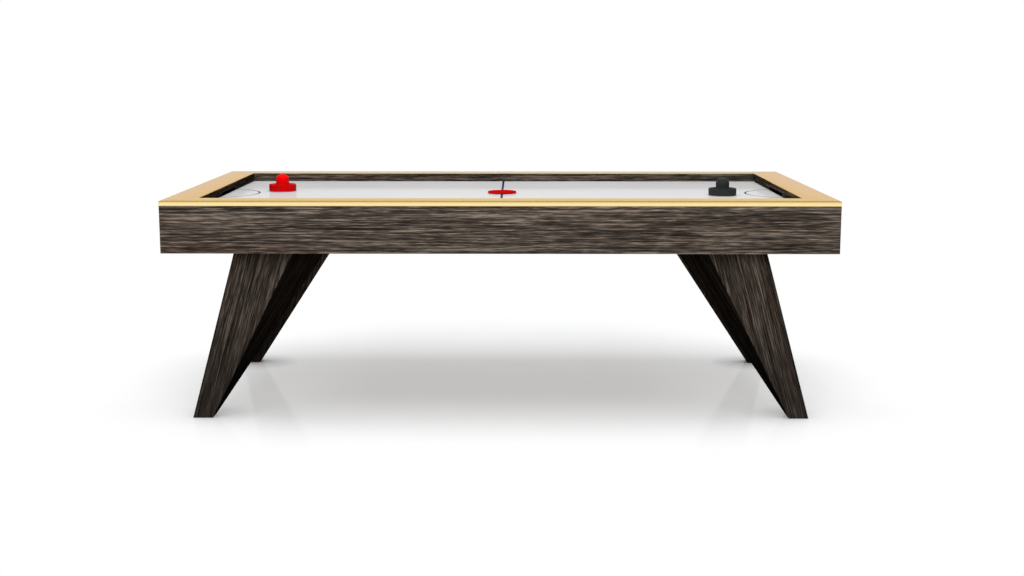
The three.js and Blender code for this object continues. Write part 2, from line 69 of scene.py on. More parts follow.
class Shader:
    """The node tree of a material or a world. Most methods add nodes and return a socket."""

    # two inputs and the output of a Mix node, by data type
    MIX_SOCKETS = {"FLOAT": (2, 3, 0), "VECTOR": (4, 5, 1), "RGBA": (6, 7, 2)}

    def __init__(self, owner):
        self.owner = owner
        owner.use_nodes = True
        self.tree = owner.node_tree
        self.tree.nodes.clear()

    def node(self, kind, **settings):
        node = self.tree.nodes.new(kind)
        for key, value in settings.items():
            setattr(node, key, value)
        return node

    def put(self, socket, value):
        """Links a socket to an input, or sets the input's value."""
        if isinstance(value, bpy.types.NodeSocket):
            self.tree.links.new(value, socket)
        else:
            socket.default_value = value

    def fill(self, node, *values):
        for socket, value in zip(node.inputs, values):
            self.put(socket, value)
        return node

    def shader(self, kind, **inputs):
        """A shader node with its inputs given by name, underscores standing for spaces."""
        node = self.node(kind)
        for key, value in inputs.items():
            self.put(node.inputs[key.replace("_", " ")], value)
        return node.outputs[0]

    def mix_shader(self, factor, first, second):
        return self.fill(self.node("ShaderNodeMixShader"), factor, first, second).outputs[0]

    def output(self, shader, kind="ShaderNodeOutputMaterial"):
        self.fill(self.node(kind), shader)
        return self.owner

    def principled(self, **inputs):
        """Ends a material with a Principled surface and returns the material."""
        return self.output(self.shader("ShaderNodeBsdfPrincipled", **inputs))

    def coord(self, kind="Object"):
        return self.node("ShaderNodeTexCoord").outputs[kind]

    def geometry(self, kind):
        return self.node("ShaderNodeNewGeometry").outputs[kind]

    def facing(self):
        """0 where the surface faces the viewer, 1 where it is seen edge-on."""
        return self.node("ShaderNodeLayerWeight").outputs["Facing"]

    def math(self, operation, *values):
        return self.fill(self.node("ShaderNodeMath", operation=operation), *values).outputs[0]

    def times(self, first, second):
        return self.math("MULTIPLY", first, second)

    def minus(self, first, second):
        return self.math("SUBTRACT", first, second)

    def swing(self, noise, amount):
        """A noise centred on zero and scaled."""
        return self.times(self.minus(noise, 0.5), amount)

    def add(self, *terms):
        total = terms[0]
        for term in terms[1:]:
            total = self.math("ADD", total, term)
        return total

    def vec(self, operation, *vectors, scale=None):
        node = self.fill(self.node("ShaderNodeVectorMath", operation=operation), *vectors)
        if scale is not None:
            self.put(node.inputs["Scale"], scale)
        return node.outputs["Value" if operation in ("DOT_PRODUCT", "LENGTH") else 0]

    def xyz(self, vector):
        return tuple(self.fill(self.node("ShaderNodeSeparateXYZ"), vector).outputs)

    def join(self, x, y, z):
        return self.fill(self.node("ShaderNodeCombineXYZ"), x, y, z).outputs[0]

    def noise(self, point, scale=1.0, detail=2.0, rough=0.5, distort=0.0, colour=False):
        node = self.node("ShaderNodeTexNoise")
        self.put(node.inputs["Vector"], point)
        self.put(node.inputs["Scale"], scale)
        self.put(node.inputs["Detail"], detail)
        self.put(node.inputs["Roughness"], rough)
        self.put(node.inputs["Distortion"], distort)
        return node.outputs["Color" if colour else 0]

    def voronoi(self, point, scale, output="Distance"):
        node = self.node("ShaderNodeTexVoronoi", feature="F1")
        self.put(node.inputs["Vector"], point)
        self.put(node.inputs["Scale"], scale)
        return node.outputs[output]

    def ramp(self, factor, stops):
        node = self.node("ShaderNodeValToRGB")
        elements = node.color_ramp.elements
        while len(elements) < len(stops):
            elements.new(0.5)
        for element, (position, colour) in zip(elements, stops):
            element.position = position
            element.color = colour
        self.put(node.inputs[0], factor)
        return node.outputs[0]

    def remap(self, kind, value, between, to):
        node = self.node("ShaderNodeMapRange", interpolation_type=kind)
        return self.fill(node, value, *between, *to).outputs[0]

    def step(self, value, between, to=(0.0, 1.0)):
        """Eases from the first to the second 'to' value as value crosses 'between'."""
        return self.remap("SMOOTHSTEP", value, between, to)

    def linear(self, value, between, to=(0.0, 1.0)):
        return self.remap("LINEAR", value, between, to)

    def mix(self, factor, first, second, blend="MIX", data="RGBA"):
        node = self.node("ShaderNodeMix", data_type=data, blend_type=blend)
        first_slot, second_slot, result = self.MIX_SOCKETS[data]
        self.put(node.inputs[0], factor)
        self.put(node.inputs[first_slot], first)
        self.put(node.inputs[second_slot], second)
        return node.outputs[result]

    def scratches(self, point, stretch, cut):
        """Thin lines where a noise, scaled per axis by stretch, rises through cut."""
        return self.step(self.noise(self.vec("MULTIPLY", point, stretch)), cut)

    def bump(self, height, distance, strength):
        node = self.node("ShaderNodeBump")
        self.put(node.inputs["Height"], height)
        self.put(node.inputs["Distance"], distance)
        self.put(node.inputs["Strength"], strength)
        return node.outputs[0]


def new_material(name):
    return Shader(bpy.data.materials.new(name))


class Grain:
    """Noise with one frequency across an axis and another, lower one along it."""

    def __init__(self, mat, point, axis):
        self.mat, self.point, self.axis = mat, point, axis
        self.along = mat.vec("DOT_PRODUCT", point, axis)

    def noise(self, across, lengthwise, point=None, **settings):
        mat = self.mat
        scaled = mat.vec("SCALE", self.point if point is None else point, scale=across)
        pull = mat.vec("SCALE", self.axis, scale=mat.times(self.along, lengthwise - across))
        return mat.noise(mat.vec("ADD", scaled, pull), **settings)


# ------------------------------------------------------------------ wood
def veneer_figure(mat, base, axis, tone, contrast=None):
    """Dark grey-brown open grain along axis. Returns colour, broad bands, roughness, normal."""
    grain = Grain(mat, base, axis)
    wander = grain.noise(across=9, lengthwise=2.2, colour=True)
    wander = mat.vec("SUBTRACT", wander, (0.5, 0.5, 0.5))
    point = mat.vec("ADD", base, mat.vec("SCALE", wander, scale=0.0028))
    dash_point = mat.vec("ADD", point, (2.1, 8.4, 5.5))
    pore_point = mat.vec("ADD", point, (7.3, 1.9, 4.1))
    band = grain.noise(30, 0.9, point, detail=3, rough=0.55)
    streak = grain.noise(165, 1.9, point, detail=3, rough=0.62)
    dash = grain.noise(205, 7.5, dash_point, rough=0.6)
    tick = grain.noise(330, 17.0, point, rough=0.6)
    fibre = grain.noise(820, 26.0, point, rough=0.6)
    pore = grain.noise(260, 6.5, pore_point)
    strengths = ((streak, 1.25), (dash, 1.15), (tick, 1.15), (band, 0.55), (fibre, 0.75))
    terms = []
    for noise, strength in strengths:
        weight = strength if contrast is None else mat.times(contrast, strength)
        terms.append(mat.swing(noise, weight))
    value = mat.add(*terms, 0.5)

    # scaled by tone: the wood's own stain on most boards, painted shade on the rails
    def stain_and_shade(red, green, blue):
        return (*(channel * tone for channel in srgb(red, green, blue)[:3]), 1.0)

    colour = mat.ramp(
        value,
        [
            (0.12, stain_and_shade(38, 31, 27)),
            (0.34, stain_and_shade(68, 59, 52)),
            (0.50, stain_and_shade(94, 84, 75)),
            (0.64, stain_and_shade(118, 106, 95)),
            (0.86, stain_and_shade(170, 154, 139)),
        ],
    )
    # slow drift between a warmer and a cooler cast
    tint = grain.noise(14, 1.1, point)
    warm = mat.mix(1.0, colour, (1.12, 0.97, 0.93, 1), blend="MULTIPLY")
    colour = mat.mix(mat.step(tint, (0.52, 0.68), to=(0.0, 0.5)), colour, warm)
    cool = mat.mix(1.0, colour, (0.93, 1.0, 1.03, 1), blend="MULTIPLY")
    colour = mat.mix(mat.step(tint, (0.46, 0.32), to=(0.0, 0.6)), colour, cool)
    pores = mat.step(pore, (0.56, 0.66))
    colour = mat.mix(mat.times(pores, 0.62), colour, stain_and_shade(28, 23, 20))

    roughness = mat.add(0.50, mat.times(pores, 0.28), mat.times(fibre, 0.16))
    height = mat.add(mat.times(pores, -1.0), mat.times(fibre, 0.35), mat.times(streak, 0.5))
    return colour, band, roughness, mat.bump(height, distance=0.00035, strength=0.8)


def veneer(name, axis, offset, tone=1.0, specular=0.07):
    """Flat board veneer. offset moves the board to its own part of the grain."""
    mat = new_material(name)
    base = mat.vec("ADD", mat.coord(), offset)
    colour, _, roughness, normal = veneer_figure(mat, base, axis, tone)
    return mat.principled(
        Base_Color=colour, Roughness=roughness, Specular_IOR_Level=specular, Normal=normal
    )


def leg_veneer():
    """Veneer shared by the four legs, its grain following each face's own edges.

    Positions and normals are mirrored into one quarter, so a negative mirrored normal
    points in under the table.
    """
    faces_in_x = (-0.35, -0.45)
    faces_in_y = (-0.65, -0.75)
    # grain directions in the mirrored quarter
    broad_grain = (0.2648, 0.0, -0.9643)
    inner_x_grain = (0.5010, 0.1490, -0.8525)
    inner_y_grain = (0.2510, 0.3190, -0.9139)

    mat = new_material("veneer_legs")
    x, y, z = mat.xyz(mat.coord())
    sign_x, sign_y = mat.math("SIGN", x), mat.math("SIGN", y)
    normal_x, normal_y, _ = mat.xyz(mat.geometry("True Normal"))
    normal_x, normal_y = mat.times(normal_x, sign_x), mat.times(normal_y, sign_y)
    axis = mat.mix(mat.step(normal_x, faces_in_x), broad_grain, inner_x_grain, data="VECTOR")
    axis = mat.mix(mat.step(normal_y, faces_in_y), axis, inner_y_grain, data="VECTOR")
    mirrored = mat.join(mat.math("ABSOLUTE", x), mat.math("ABSOLUTE", y), z)
    # each leg gets its own grain; the normal's share of the z shift is set to zero
    shift = mat.join(
        mat.times(sign_x, 3.17),
        mat.times(sign_y, 5.23),
        mat.add(mat.times(normal_x, 0.0), mat.times(sign_x, 0.71)),
    )
    # the figure is calmer towards the feet
    figure_contrast = 0.88
    contrast = mat.step(
        z, (0.05, 0.45), to=(0.68 * figure_contrast, 1.08 * figure_contrast)
    )
    colour, band, roughness, normal = veneer_figure(
        mat, mat.vec("ADD", mirrored, shift), axis, tone=0.56, contrast=contrast
    )

    # painted light and shade: lighter towards the top against the table's shadow, darker
    # towards the feet and along the outer edge of each broad face, whose two edges are
    # straight lines of x against z
    outer_x = mat.add(mat.times(z, -0.2743), 1.1543)
    inner_x = mat.add(mat.times(z, -0.5047), 1.0813)
    from_inner = mat.minus(mat.math("ABSOLUTE", x), inner_x)
    across = mat.math("DIVIDE", from_inner, mat.minus(outer_x, inner_x))
    rim = mat.step(mat.add(across, mat.swing(band, 0.25)), (0.70, 1.0), to=(1.0, 0.62))
    painted_light_and_shade = mat.times(mat.step(z, (0.10, 0.62), to=(0.72, 1.46)), rim)
    colour = mat.vec("SCALE", colour, scale=painted_light_and_shade)
    # painted shade: faces turned in along y darken near the foot
    inward = mat.step(normal_y, (-0.30, -0.50))
    foot = mat.step(z, (0.12, 0.50), to=(0.5, 0.0))
    colour = mat.vec("SCALE", colour, scale=mat.minus(1.0, mat.times(inward, foot)))
    # painted shade: faces turned in along x are made nearly black, without sheen
    shade = mat.step(normal_x, faces_in_x, to=(0.0, 0.78))
    colour = mat.mix(shade, colour, (0.005, 0.0042, 0.0038, 1))
    return mat.principled(
        Base_Color=colour,
        Roughness=roughness,
        Specular_IOR_Level=mat.step(normal_x, faces_in_x, to=(0.04, 0.0)),
        Normal=normal,
    )


def plywood(name, axis, layers):
    """Birch plywood: face grain along axis, thin plies stacked along the layers axis."""
    ply_thickness = 0.003
    mat = new_material(name)
    point = mat.coord()
    grain = Grain(mat, point, axis)
    figure = grain.noise(across=9, lengthwise=1.4, distort=1.2)
    rings = mat.math("FRACT", mat.times(figure, 9.0))
    rings = mat.math("ABSOLUTE", mat.minus(rings, 0.5))
    fibre = grain.noise(across=420, lengthwise=12, detail=3, rough=0.6)
    face = mat.ramp(
        mat.add(mat.times(rings, 0.9), mat.times(fibre, 0.5)),
        [(0.15, srgb(176, 140, 94)), (0.5, srgb(201, 169, 122)), (0.85, srgb(221, 194, 150))],
    )
    fleck = grain.noise(across=160, lengthwise=26)
    face = mat.mix(mat.step(fleck, (0.66, 0.74), to=(0.0, 0.5)), face, srgb(140, 104, 66))

    index = "XYZ".index(layers)
    normal = mat.xyz(mat.geometry("True Normal"))[index]
    depth = mat.xyz(point)[index]
    ply = mat.math("FRACT", mat.times(depth, 1 / ply_thickness))
    glue = mat.step(mat.math("ABSOLUTE", mat.minus(ply, 0.5)), (0.40, 0.47))
    pair = mat.math("FRACT", mat.times(depth, 0.5 / ply_thickness))
    edge = mat.mix(mat.step(pair, (0.48, 0.52)), srgb(206, 176, 130), srgb(162, 126, 84))
    edge = mat.mix(mat.times(fibre, 0.5), edge, srgb(150, 116, 78))
    edge = mat.mix(mat.times(glue, 0.8), edge, srgb(92, 62, 38))
    on_face = mat.step(mat.math("ABSOLUTE", normal), (0.5, 0.6))
    height = mat.add(fibre, mat.times(glue, -0.6))
    return mat.principled(
        Base_Color=mat.mix(on_face, edge, face),
        Roughness=mat.add(0.6, mat.times(fibre, 0.25)),
        Specular_IOR_Level=0.25,
        Normal=mat.bump(height, distance=0.00025, strength=0.6),
    )


# ------------------------------------------------------------------ metals
def brass(name, axis, pale, deep, tint):
    """Satin brass sheet, brushed along its length, with a few finger-dulled patches."""
    mat = new_material(name)
    point = mat.coord()
    grain = Grain(mat, point, axis)
    brush = grain.noise(across=1500, lengthwise=9, detail=3, rough=0.6)
    hair = grain.noise(across=3200, lengthwise=30)
    cloud = mat.noise(point, scale=3.1, detail=4, rough=0.55)
    smear = mat.noise(point, scale=17, detail=3, rough=0.6)
    colour = mat.mix(mat.linear(cloud, (0.3, 0.7)), srgb(*pale), srgb(*deep))
    # painted highlight on the outer lip: brightest along its lower half, darker above and a little
    # darker at its foot; painted darker reflection on the folded corner
    z = mat.xyz(point)[2]
    upright = mat.math("ABSOLUTE", mat.xyz(mat.geometry("Normal"))[2])
    lip_highlight = mat.mix(
        mat.step(z, (0.8215, 0.8290)), srgb(255, 230, 164), srgb(222, 189, 129)
    )
    lip_highlight = mat.mix(mat.step(z, (0.8175, 0.8140)), lip_highlight, srgb(238, 210, 146))
    colour = mat.mix(mat.step(upright, (0.75, 0.35)), colour, lip_highlight)
    # painted darker reflection on the folded corner between top and lip
    corner = mat.times(mat.step(upright, (0.20, 0.45)), mat.step(upright, (0.995, 0.90)))
    colour = mat.mix(corner, colour, srgb(222, 190, 128))
    brushed = mat.linear(brush, (0.3, 0.7), to=(0.0, 0.05))
    colour = mat.mix(brushed, colour, srgb(252, 230, 180))
    dulled = mat.step(smear, (0.60, 0.78), to=(0.0, 0.05))
    colour = mat.mix(dulled, colour, srgb(206, 168, 106))
    return mat.principled(
        Base_Color=colour,
        Metallic=0.80,
        Roughness=mat.add(0.15, mat.swing(brush, 0.06), mat.swing(smear, 0.05)),
        Specular_IOR_Level=0.35,
        Specular_Tint=srgb(*tint),
        Normal=mat.bump(mat.add(brush, hair), distance=0.000002, strength=0.05),
    )


def bare_metal(mat, colour, roughness, height):
    return mat.principled(
        Base_Color=colour,
        Metallic=1.0,
        Roughness=roughness,
        Normal=mat.bump(height, distance=0.00004, strength=0.4),
    )


def brushed_steel(name, rgb, rough):
    """Steel brushed along z, with darker blotches."""
    mat = new_material(name)
    point = mat.coord()
    brush = Grain(mat, point, ALONG_Z).noise(
        across=1300, lengthwise=14, detail=3, rough=0.6
    )
    blotch = mat.noise(point, scale=40, detail=3, rough=0.6)
    colour = mat.mix(
        mat.linear(blotch, (0.35, 0.7), to=(0.0, 0.4)), srgb(*rgb), srgb(*rgb, factor=0.78)
    )
    return bare_metal(mat, colour, mat.add(rough, mat.swing(brush, 0.22)), brush)


def galvanised_sheet():
    """Zinc sheet with crystal spangles."""
    rgb = (176, 180, 186)
    mat = new_material("blower_galvanised")
    point = mat.coord()
    shade = mat.xyz(mat.voronoi(point, scale=95, output="Color"))[0]
    colour = mat.mix(
        mat.linear(shade, (0, 1), to=(0.0, 0.55)), srgb(*rgb), srgb(*rgb, factor=1.22)
    )
    roughness = mat.add(0.28, mat.times(shade, 0.16))
    return bare_metal(mat, colour, roughness, mat.noise(point, scale=500))


def cast_metal():
    rgb = (140, 143, 148)
    mat = new_material("motor_cast")
    grain = mat.noise(mat.coord(), scale=800, detail=3, rough=0.6)
    colour = mat.mix(
        mat.linear(grain, (0.3, 0.7), to=(0.0, 0.4)), srgb(*rgb), srgb(*rgb, factor=0.8)
    )
    return bare_metal(mat, colour, mat.add(0.42, mat.times(grain, 0.18)), grain)


# ------------------------------------------------------------------ bed, plastics, soft parts
def laminate():
    """Hard white laminate: faint clouding, a fine orange peel and long hairline scuffs."""
    mat = new_material("bed_laminate_surface")
    point = mat.coord()
    cloud = mat.noise(point, scale=2.3, detail=3)
    speck = mat.noise(point, scale=900)
    colour = mat.mix(
        mat.linear(cloud, (0.35, 0.65)), srgb(207, 207, 208), srgb(212, 211, 211)
    )
    specks = mat.step(speck, (0.64, 0.75), to=(0.0, 0.18))
    colour = mat.mix(specks, colour, srgb(176, 180, 186))
    along_x = mat.scratches(point, stretch=(5, 260, 5), cut=(0.66, 0.74))
    shifted = mat.vec("ADD", point, (3, 3, 0))
    along_y = mat.scratches(shifted, stretch=(220, 7, 5), cut=(0.68, 0.76))
    scuffs = mat.math("MAXIMUM", along_x, along_y)
    peel = mat.noise(point, scale=240, detail=3)
    return mat.principled(
        Base_Color=colour,
        Roughness=mat.add(0.07, mat.times(scuffs, 0.08), mat.times(cloud, 0.04)),
        Specular_IOR_Level=mat.step(mat.facing(), (0.35, 0.80), to=(0.35, 0.0015)),
        Normal=mat.bump(peel, distance=0.00001, strength=0.12),
    )


def line_ink():
    """Dark blue screen-printed line under the laminate's clear coat."""
    rgb = (28, 42, 88)
    mat = new_material("line_ink")
    point = mat.coord()
    grain = mat.noise(point, scale=700, detail=3, rough=0.6)
    cloud = mat.noise(point, scale=30)
    worn = mat.linear(grain, (0.35, 0.7), to=(0.0, 0.35))
    colour = mat.mix(worn, srgb(*rgb), srgb(*rgb, factor=1.35, lift=14))
    clouding = mat.linear(cloud, (0.3, 0.7), to=(0.0, 0.25))
    return mat.principled(
        Base_Color=mat.mix(clouding, colour, srgb(*rgb, factor=0.8)),
        Roughness=mat.add(0.24, mat.times(grain, 0.08)),
        Specular_IOR_Level=0.0015,
        Normal=mat.bump(grain, distance=0.00001, strength=0.2),
    )


def plastic(name, rgb, rough, specular=0.45, head_on=None, deep=0.75, texture=0.0, base=None):
    """Moulded plastic with slight flow clouding, fine hairlines and an optional texture.

    deep darkens the clouding, head_on is the specular level where the surface faces the
    viewer, and base is the brightness of a mallet's foot against its grip, a painted shade.
    """
    mat = new_material(name)
    point = mat.coord()
    flow = mat.noise(point, scale=28, detail=3, rough=0.55, distort=0.8)
    along_x = mat.scratches(point, stretch=(60, 1400, 1400), cut=(0.68, 0.76))
    shifted = mat.vec("ADD", point, (2, 5, 1))
    along_y = mat.scratches(shifted, stretch=(1400, 60, 1400), cut=(0.69, 0.77))
    lines = mat.math("MAXIMUM", along_x, along_y)
    clouding = mat.linear(flow, (0.35, 0.68), to=(0.0, 0.30))
    colour = mat.mix(clouding, srgb(*rgb), srgb(*rgb, factor=deep))
    pits = mat.noise(point, scale=1400)
    if base is not None:
        # painted shade: the base darker than the domed grip, the flanks facing along x darker still
        normal_x = mat.math("ABSOLUTE", mat.xyz(mat.geometry("Normal"))[0])
        painted_side_shade = mat.step(normal_x, (0.65, 1.0), to=(1.0, 0.74))
        painted_foot_shade = mat.step(mat.xyz(point)[2], (0.818, 0.846), to=(base, 1.0))
        colour = mat.vec("SCALE", colour, scale=mat.times(painted_foot_shade, painted_side_shade))
    if head_on is not None:
        specular = mat.step(mat.facing(), (0.30, 0.75), to=(head_on, specular))
    height = mat.add(mat.times(pits, texture), mat.times(lines, -0.15))
    return mat.principled(
        Base_Color=colour,
        Roughness=mat.add(rough, mat.times(lines, 0.10), mat.times(flow, 0.05)),
        Specular_IOR_Level=specular,
        Coat_Weight=0.0,
        Coat_Roughness=0.08,
        Normal=mat.bump(height, distance=0.00006, strength=0.6),
    )


def rubber():
    """Matt black rubber with patches of dust."""
    mat = new_material("rubber_surface")
    point = mat.coord()
    grain = mat.noise(point, scale=900, detail=3, rough=0.6)
    dust = mat.noise(point, scale=60, detail=4, rough=0.6)
    dusting = mat.step(dust, (0.55, 0.8), to=(0.0, 0.35))
    return mat.principled(
        Base_Color=mat.mix(dusting, srgb(30, 30, 31), srgb(74, 72, 69)),
        Roughness=mat.add(0.72, mat.times(grain, 0.18)),
        Specular_IOR_Level=0.3,
        Normal=mat.bump(grain, distance=0.0001, strength=0.7),
    )


def felt():
    """Needled felt: matted fibres in two directions, a little pilling."""
    mat = new_material("felt_surface")
    point = mat.coord()

    def fibres(place, stretch):
        return mat.noise(
            mat.vec("MULTIPLY", place, stretch), detail=3, rough=0.6, distort=0.6
        )

    along_y = fibres(point, stretch=(2600, 420, 1200))
    along_x = fibres(mat.vec("ADD", point, (1, 2, 3)), stretch=(420, 2600, 1200))
    matted = mat.math("MAXIMUM", along_y, along_x)
    pilling = mat.voronoi(point, scale=700)
    colour = mat.ramp(
        matted,
        [(0.35, srgb(150, 146, 136)), (0.6, srgb(206, 202, 190)), (0.8, srgb(228, 225, 215))],
    )
    height = mat.minus(matted, mat.times(pilling, 0.4))
    return mat.principled(
        Base_Color=colour,
        Roughness=0.95,
        Specular_IOR_Level=0.1,
        Sheen_Weight=0.35,
        Sheen_Roughness=0.5,
        Normal=mat.bump(height, distance=0.00025, strength=0.9),
    )


# name, grain axis, grain offset, tone, specular level
VENEERS = (
    ("veneer_front", ALONG_X, (0.31, 0.0, 0.0), 1.0, 0.07),
    ("veneer_back", ALONG_X, (5.73, 2.0, 1.3), 1.0, 0.07),
    # the rail boards' low tones are painted shade on their faces inside the playing area, darkest
    # at the left end
    ("veneer_rail_front", ALONG_X, (9.2, 4.0, 2.6), 0.42, 0.0),
    ("veneer_rail_back", ALONG_X, (13.9, 6.0, 3.9), 0.42, 0.0),
    ("veneer_left", ALONG_Y, (1.7, 3.1, 5.1), 1.0, 0.07),
    ("veneer_right", ALONG_Y, (2.9, 7.7, 6.2), 1.0, 0.07),
    ("veneer_rail_left", ALONG_Y, (4.1, 11.3, 7.4), 0.16, 0.0),
    ("veneer_rail_right", ALONG_Y, (6.6, 15.9, 8.8), 0.30, 0.0),
)

MATERIALS = {row[0]: veneer(*row) for row in VENEERS}
MATERIALS.update({
    "leg": leg_veneer(),
    "brass_x": brass(
        "brass_brushed_long", ALONG_X,
        pale=(234, 213, 163), deep=(229, 207, 155), tint=(236, 210, 152),
    ),
    "brass_y": brass(
        "brass_brushed_end", ALONG_Y,
        pale=(241, 206, 127), deep=(237, 200, 119), tint=(229, 191, 104),
    ),
    "bed": laminate(),
    "ink": line_ink(),
    "ply_flat": plywood("plywood_flat", axis=ALONG_X, layers="Z"),
    "ply_upright": plywood("plywood_upright_x", axis=ALONG_Y, layers="X"),
    "ply_post": plywood("plywood_post", axis=ALONG_Z, layers="X"),
    "steel": brushed_steel("steel_zinc", (168, 171, 176), rough=0.30),
    "dark_steel": brushed_steel("steel_black_oxide", (70, 71, 74), rough=0.34),
    "sheet": galvanised_sheet(),
    "cast": cast_metal(),
    "rubber": rubber(),
    "black": plastic("black_moulded", (24, 24, 26), rough=0.46, texture=0.8),
    "black_satin": plastic(
        "black_satin", (20, 20, 22), rough=0.30, specular=0.10, head_on=0.22, texture=0.15
    ),
    "red_switch": plastic(
        "red_switch_gloss", (206, 14, 11), rough=0.24, specular=0.12, head_on=0.16, deep=0.85
    ),
    "red_mallet": plastic(
        "red_mallet_gloss", (240, 2, 3), rough=0.20, specular=0.004, head_on=0.05,
        deep=0.92, base=0.70,
    ),
    "puck": plastic(
        "red_puck_gloss", (195, 2, 4), rough=0.24, specular=0.00001, head_on=0.06, deep=0.90
    ),
    "dark_mallet": plastic(
        "dark_mallet_gloss", (48, 49, 50), rough=0.22, specular=0.006, head_on=0.06, deep=0.85
    ),
    "liner": plastic("black_liner", (14, 14, 15), rough=0.5, specular=0.04, texture=0.4),
    "felt": felt(),
})


# ------------------------------------------------------------------ mesh helpers
def link_object(name, data):
    obj = bpy.data.objects.new(name, data)
    bpy.context.scene.collection.objects.link(obj)
    return obj


def mesh_object(name, verts, faces, materials, smooth=True, indices=None):
    mesh = bpy.data.meshes.new(name)
    mesh.from_pydata(verts, [], faces)
    mesh.validate()
    for material in materials:
        mesh.materials.append(material)
    if indices:
        mesh.polygons.foreach_set("material_index", indices)
    if smooth:
        mesh.polygons.foreach_set("use_smooth", [True] * len(mesh.polygons))
    mesh.update()
    return link_object(name, mesh)


def orient_faces(obj, check_volume=False):
    """Makes the normals agree, and with check_volume turns an inside-out solid over."""
    solid = bmesh.new()
    solid.from_mesh(obj.data)
    bmesh.ops.recalc_face_normals(solid, faces=solid.faces)
    if check_volume and solid.calc_volume(signed=True) < 0:
        bmesh.ops.reverse_faces(solid, faces=solid.faces)
    solid.to_mesh(obj.data)
    solid.free()


def sharpen(obj, degrees):
    """Marks edges over the angle sharp, so that flat faces stay flat beside round ones."""
    solid = bmesh.new()
    solid.from_mesh(obj.data)
    limit = math.radians(degrees)
    for edge in solid.edges:
        edge.smooth = not (len(edge.link_faces) == 2 and edge.calc_face_angle(0.0) > limit)
    solid.to_mesh(obj.data)
    solid.free()
    return obj


def solid_object(name, solid, material, sharp_angle):
    """Turns a finished bmesh into a smooth-shaded object and frees it."""
    bmesh.ops.recalc_face_normals(solid, faces=solid.faces)
    for face in solid.faces:
        face.smooth = True
    mesh = bpy.data.meshes.new(name)
    solid.to_mesh(mesh)
    solid.free()
    mesh.materials.append(MATERIALS[material])
    return sharpen(link_object(name, mesh), sharp_angle)


def add_prism(solid, low_points, high_points):
    """Adds a closed prism between two matching outlines."""
    low = [solid.verts.new(point) for point in low_points]
    high = [solid.verts.new(point) for point in high_points]
    solid.faces.new(low)
    solid.faces.new(high[::-1])
    for i in range(len(low)):
        j = (i + 1) % len(low)
        solid.faces.new((low[j], low[i], high[i], high[j]))


def corner_cut(points, passes):
    """Chaikin smoothing of an open profile that keeps both end points."""
    for _ in range(passes):
        smoothed = [points[0]]
        for start, end in zip(points, points[1:]):
            for share in (0.25, 0.75):
                smoothed.append(
                    tuple(a + (b - a) * share for a, b in zip(start, end))
                )
        points = smoothed + [points[-1]]
    return points


def eased(points, radius, steps, closed=False):
    """Rounds each corner of a profile with a small arc of about the given radius."""
    rounded = []
    count = len(points)
    for i, (x, y) in enumerate(points):
        if not closed and i in (0, count - 1):
            rounded.append((x, y))
            continue
        before, after = points[i - 1], points[(i + 1) % count]
        back = (before[0] - x, before[1] - y)
        ahead = (after[0] - x, after[1] - y)
        back_length, ahead_length = math.hypot(*back), math.hypot(*ahead)
        if back_length < 1e-9 or ahead_length < 1e-9:
            # coincident points have no corner to round
            rounded.append((x, y))
            continue
        reach = min(radius, back_length * 0.45, ahead_length * 0.45)
        start = (x + back[0] / back_length * reach, y + back[1] / back_length * reach)
        end = (x + ahead[0] / ahead_length * reach, y + ahead[1] / ahead_length * reach)
        for k in range(steps + 1):
            u = k / steps
            rounded.append(
                tuple(
                    (1 - u) ** 2 * a + 2 * u * (1 - u) * corner + u * u * b
                    for a, corner, b in zip(start, (x, y), end)
                )
            )
    return rounded


def turned(name, profile, centre, material, segments, closed=False):
    """A turned solid from a profile of (radius, z) in mm, around a centre in metres.

    An open profile starts and ends on the axis. A closed one makes a ring.
    """
    centre_x, centre_y = centre
    verts, rings = [], []
    for radius, z in profile:
        if radius < 1e-6:
            rings.append([len(verts)])
            verts.append((centre_x, centre_y, z * MM))
            continue
        rings.append(list(range(len(verts), len(verts) + segments)))
        for k in range(segments):
            angle = 2 * math.pi * k / segments
            x = centre_x + radius * MM * math.cos(angle)
            y = centre_y + radius * MM * math.sin(angle)
            verts.append((x, y, z * MM))
    pairs = list(zip(rings, rings[1:]))
    if closed:
        pairs.append((rings[-1], rings[0]))
    faces = []
    for first, second in pairs:
        for k in range(segments):
            j = (k + 1) % segments
            if len(first) == 1:
                faces.append((first[0], second[j], second[k]))
            elif len(second) == 1:
                faces.append((first[k], first[j], second[0]))
            else:
                faces.append((first[k], first[j], second[j], second[k]))
    obj = mesh_object(name, verts, faces, [MATERIALS[material]])
    orient_faces(obj, check_volume=True)
    return obj


def round_box(node):
    """A round node's (x, y) centre in metres, then its bottom, top and radius in mm."""
    low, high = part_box(node)
    centre = ((low.x + high.x) / 2, (low.y + high.y) / 2)
    return centre, low.z / MM, high.z / MM, (high.x - low.x) / 2 / MM


def register(obj, body, slot, *nodes):
    """Attaches an object to its body and hides the CAD nodes it stands in for. The slot is not
    used.
    """
    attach(obj, body)
    if nodes:
        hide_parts(*nodes)


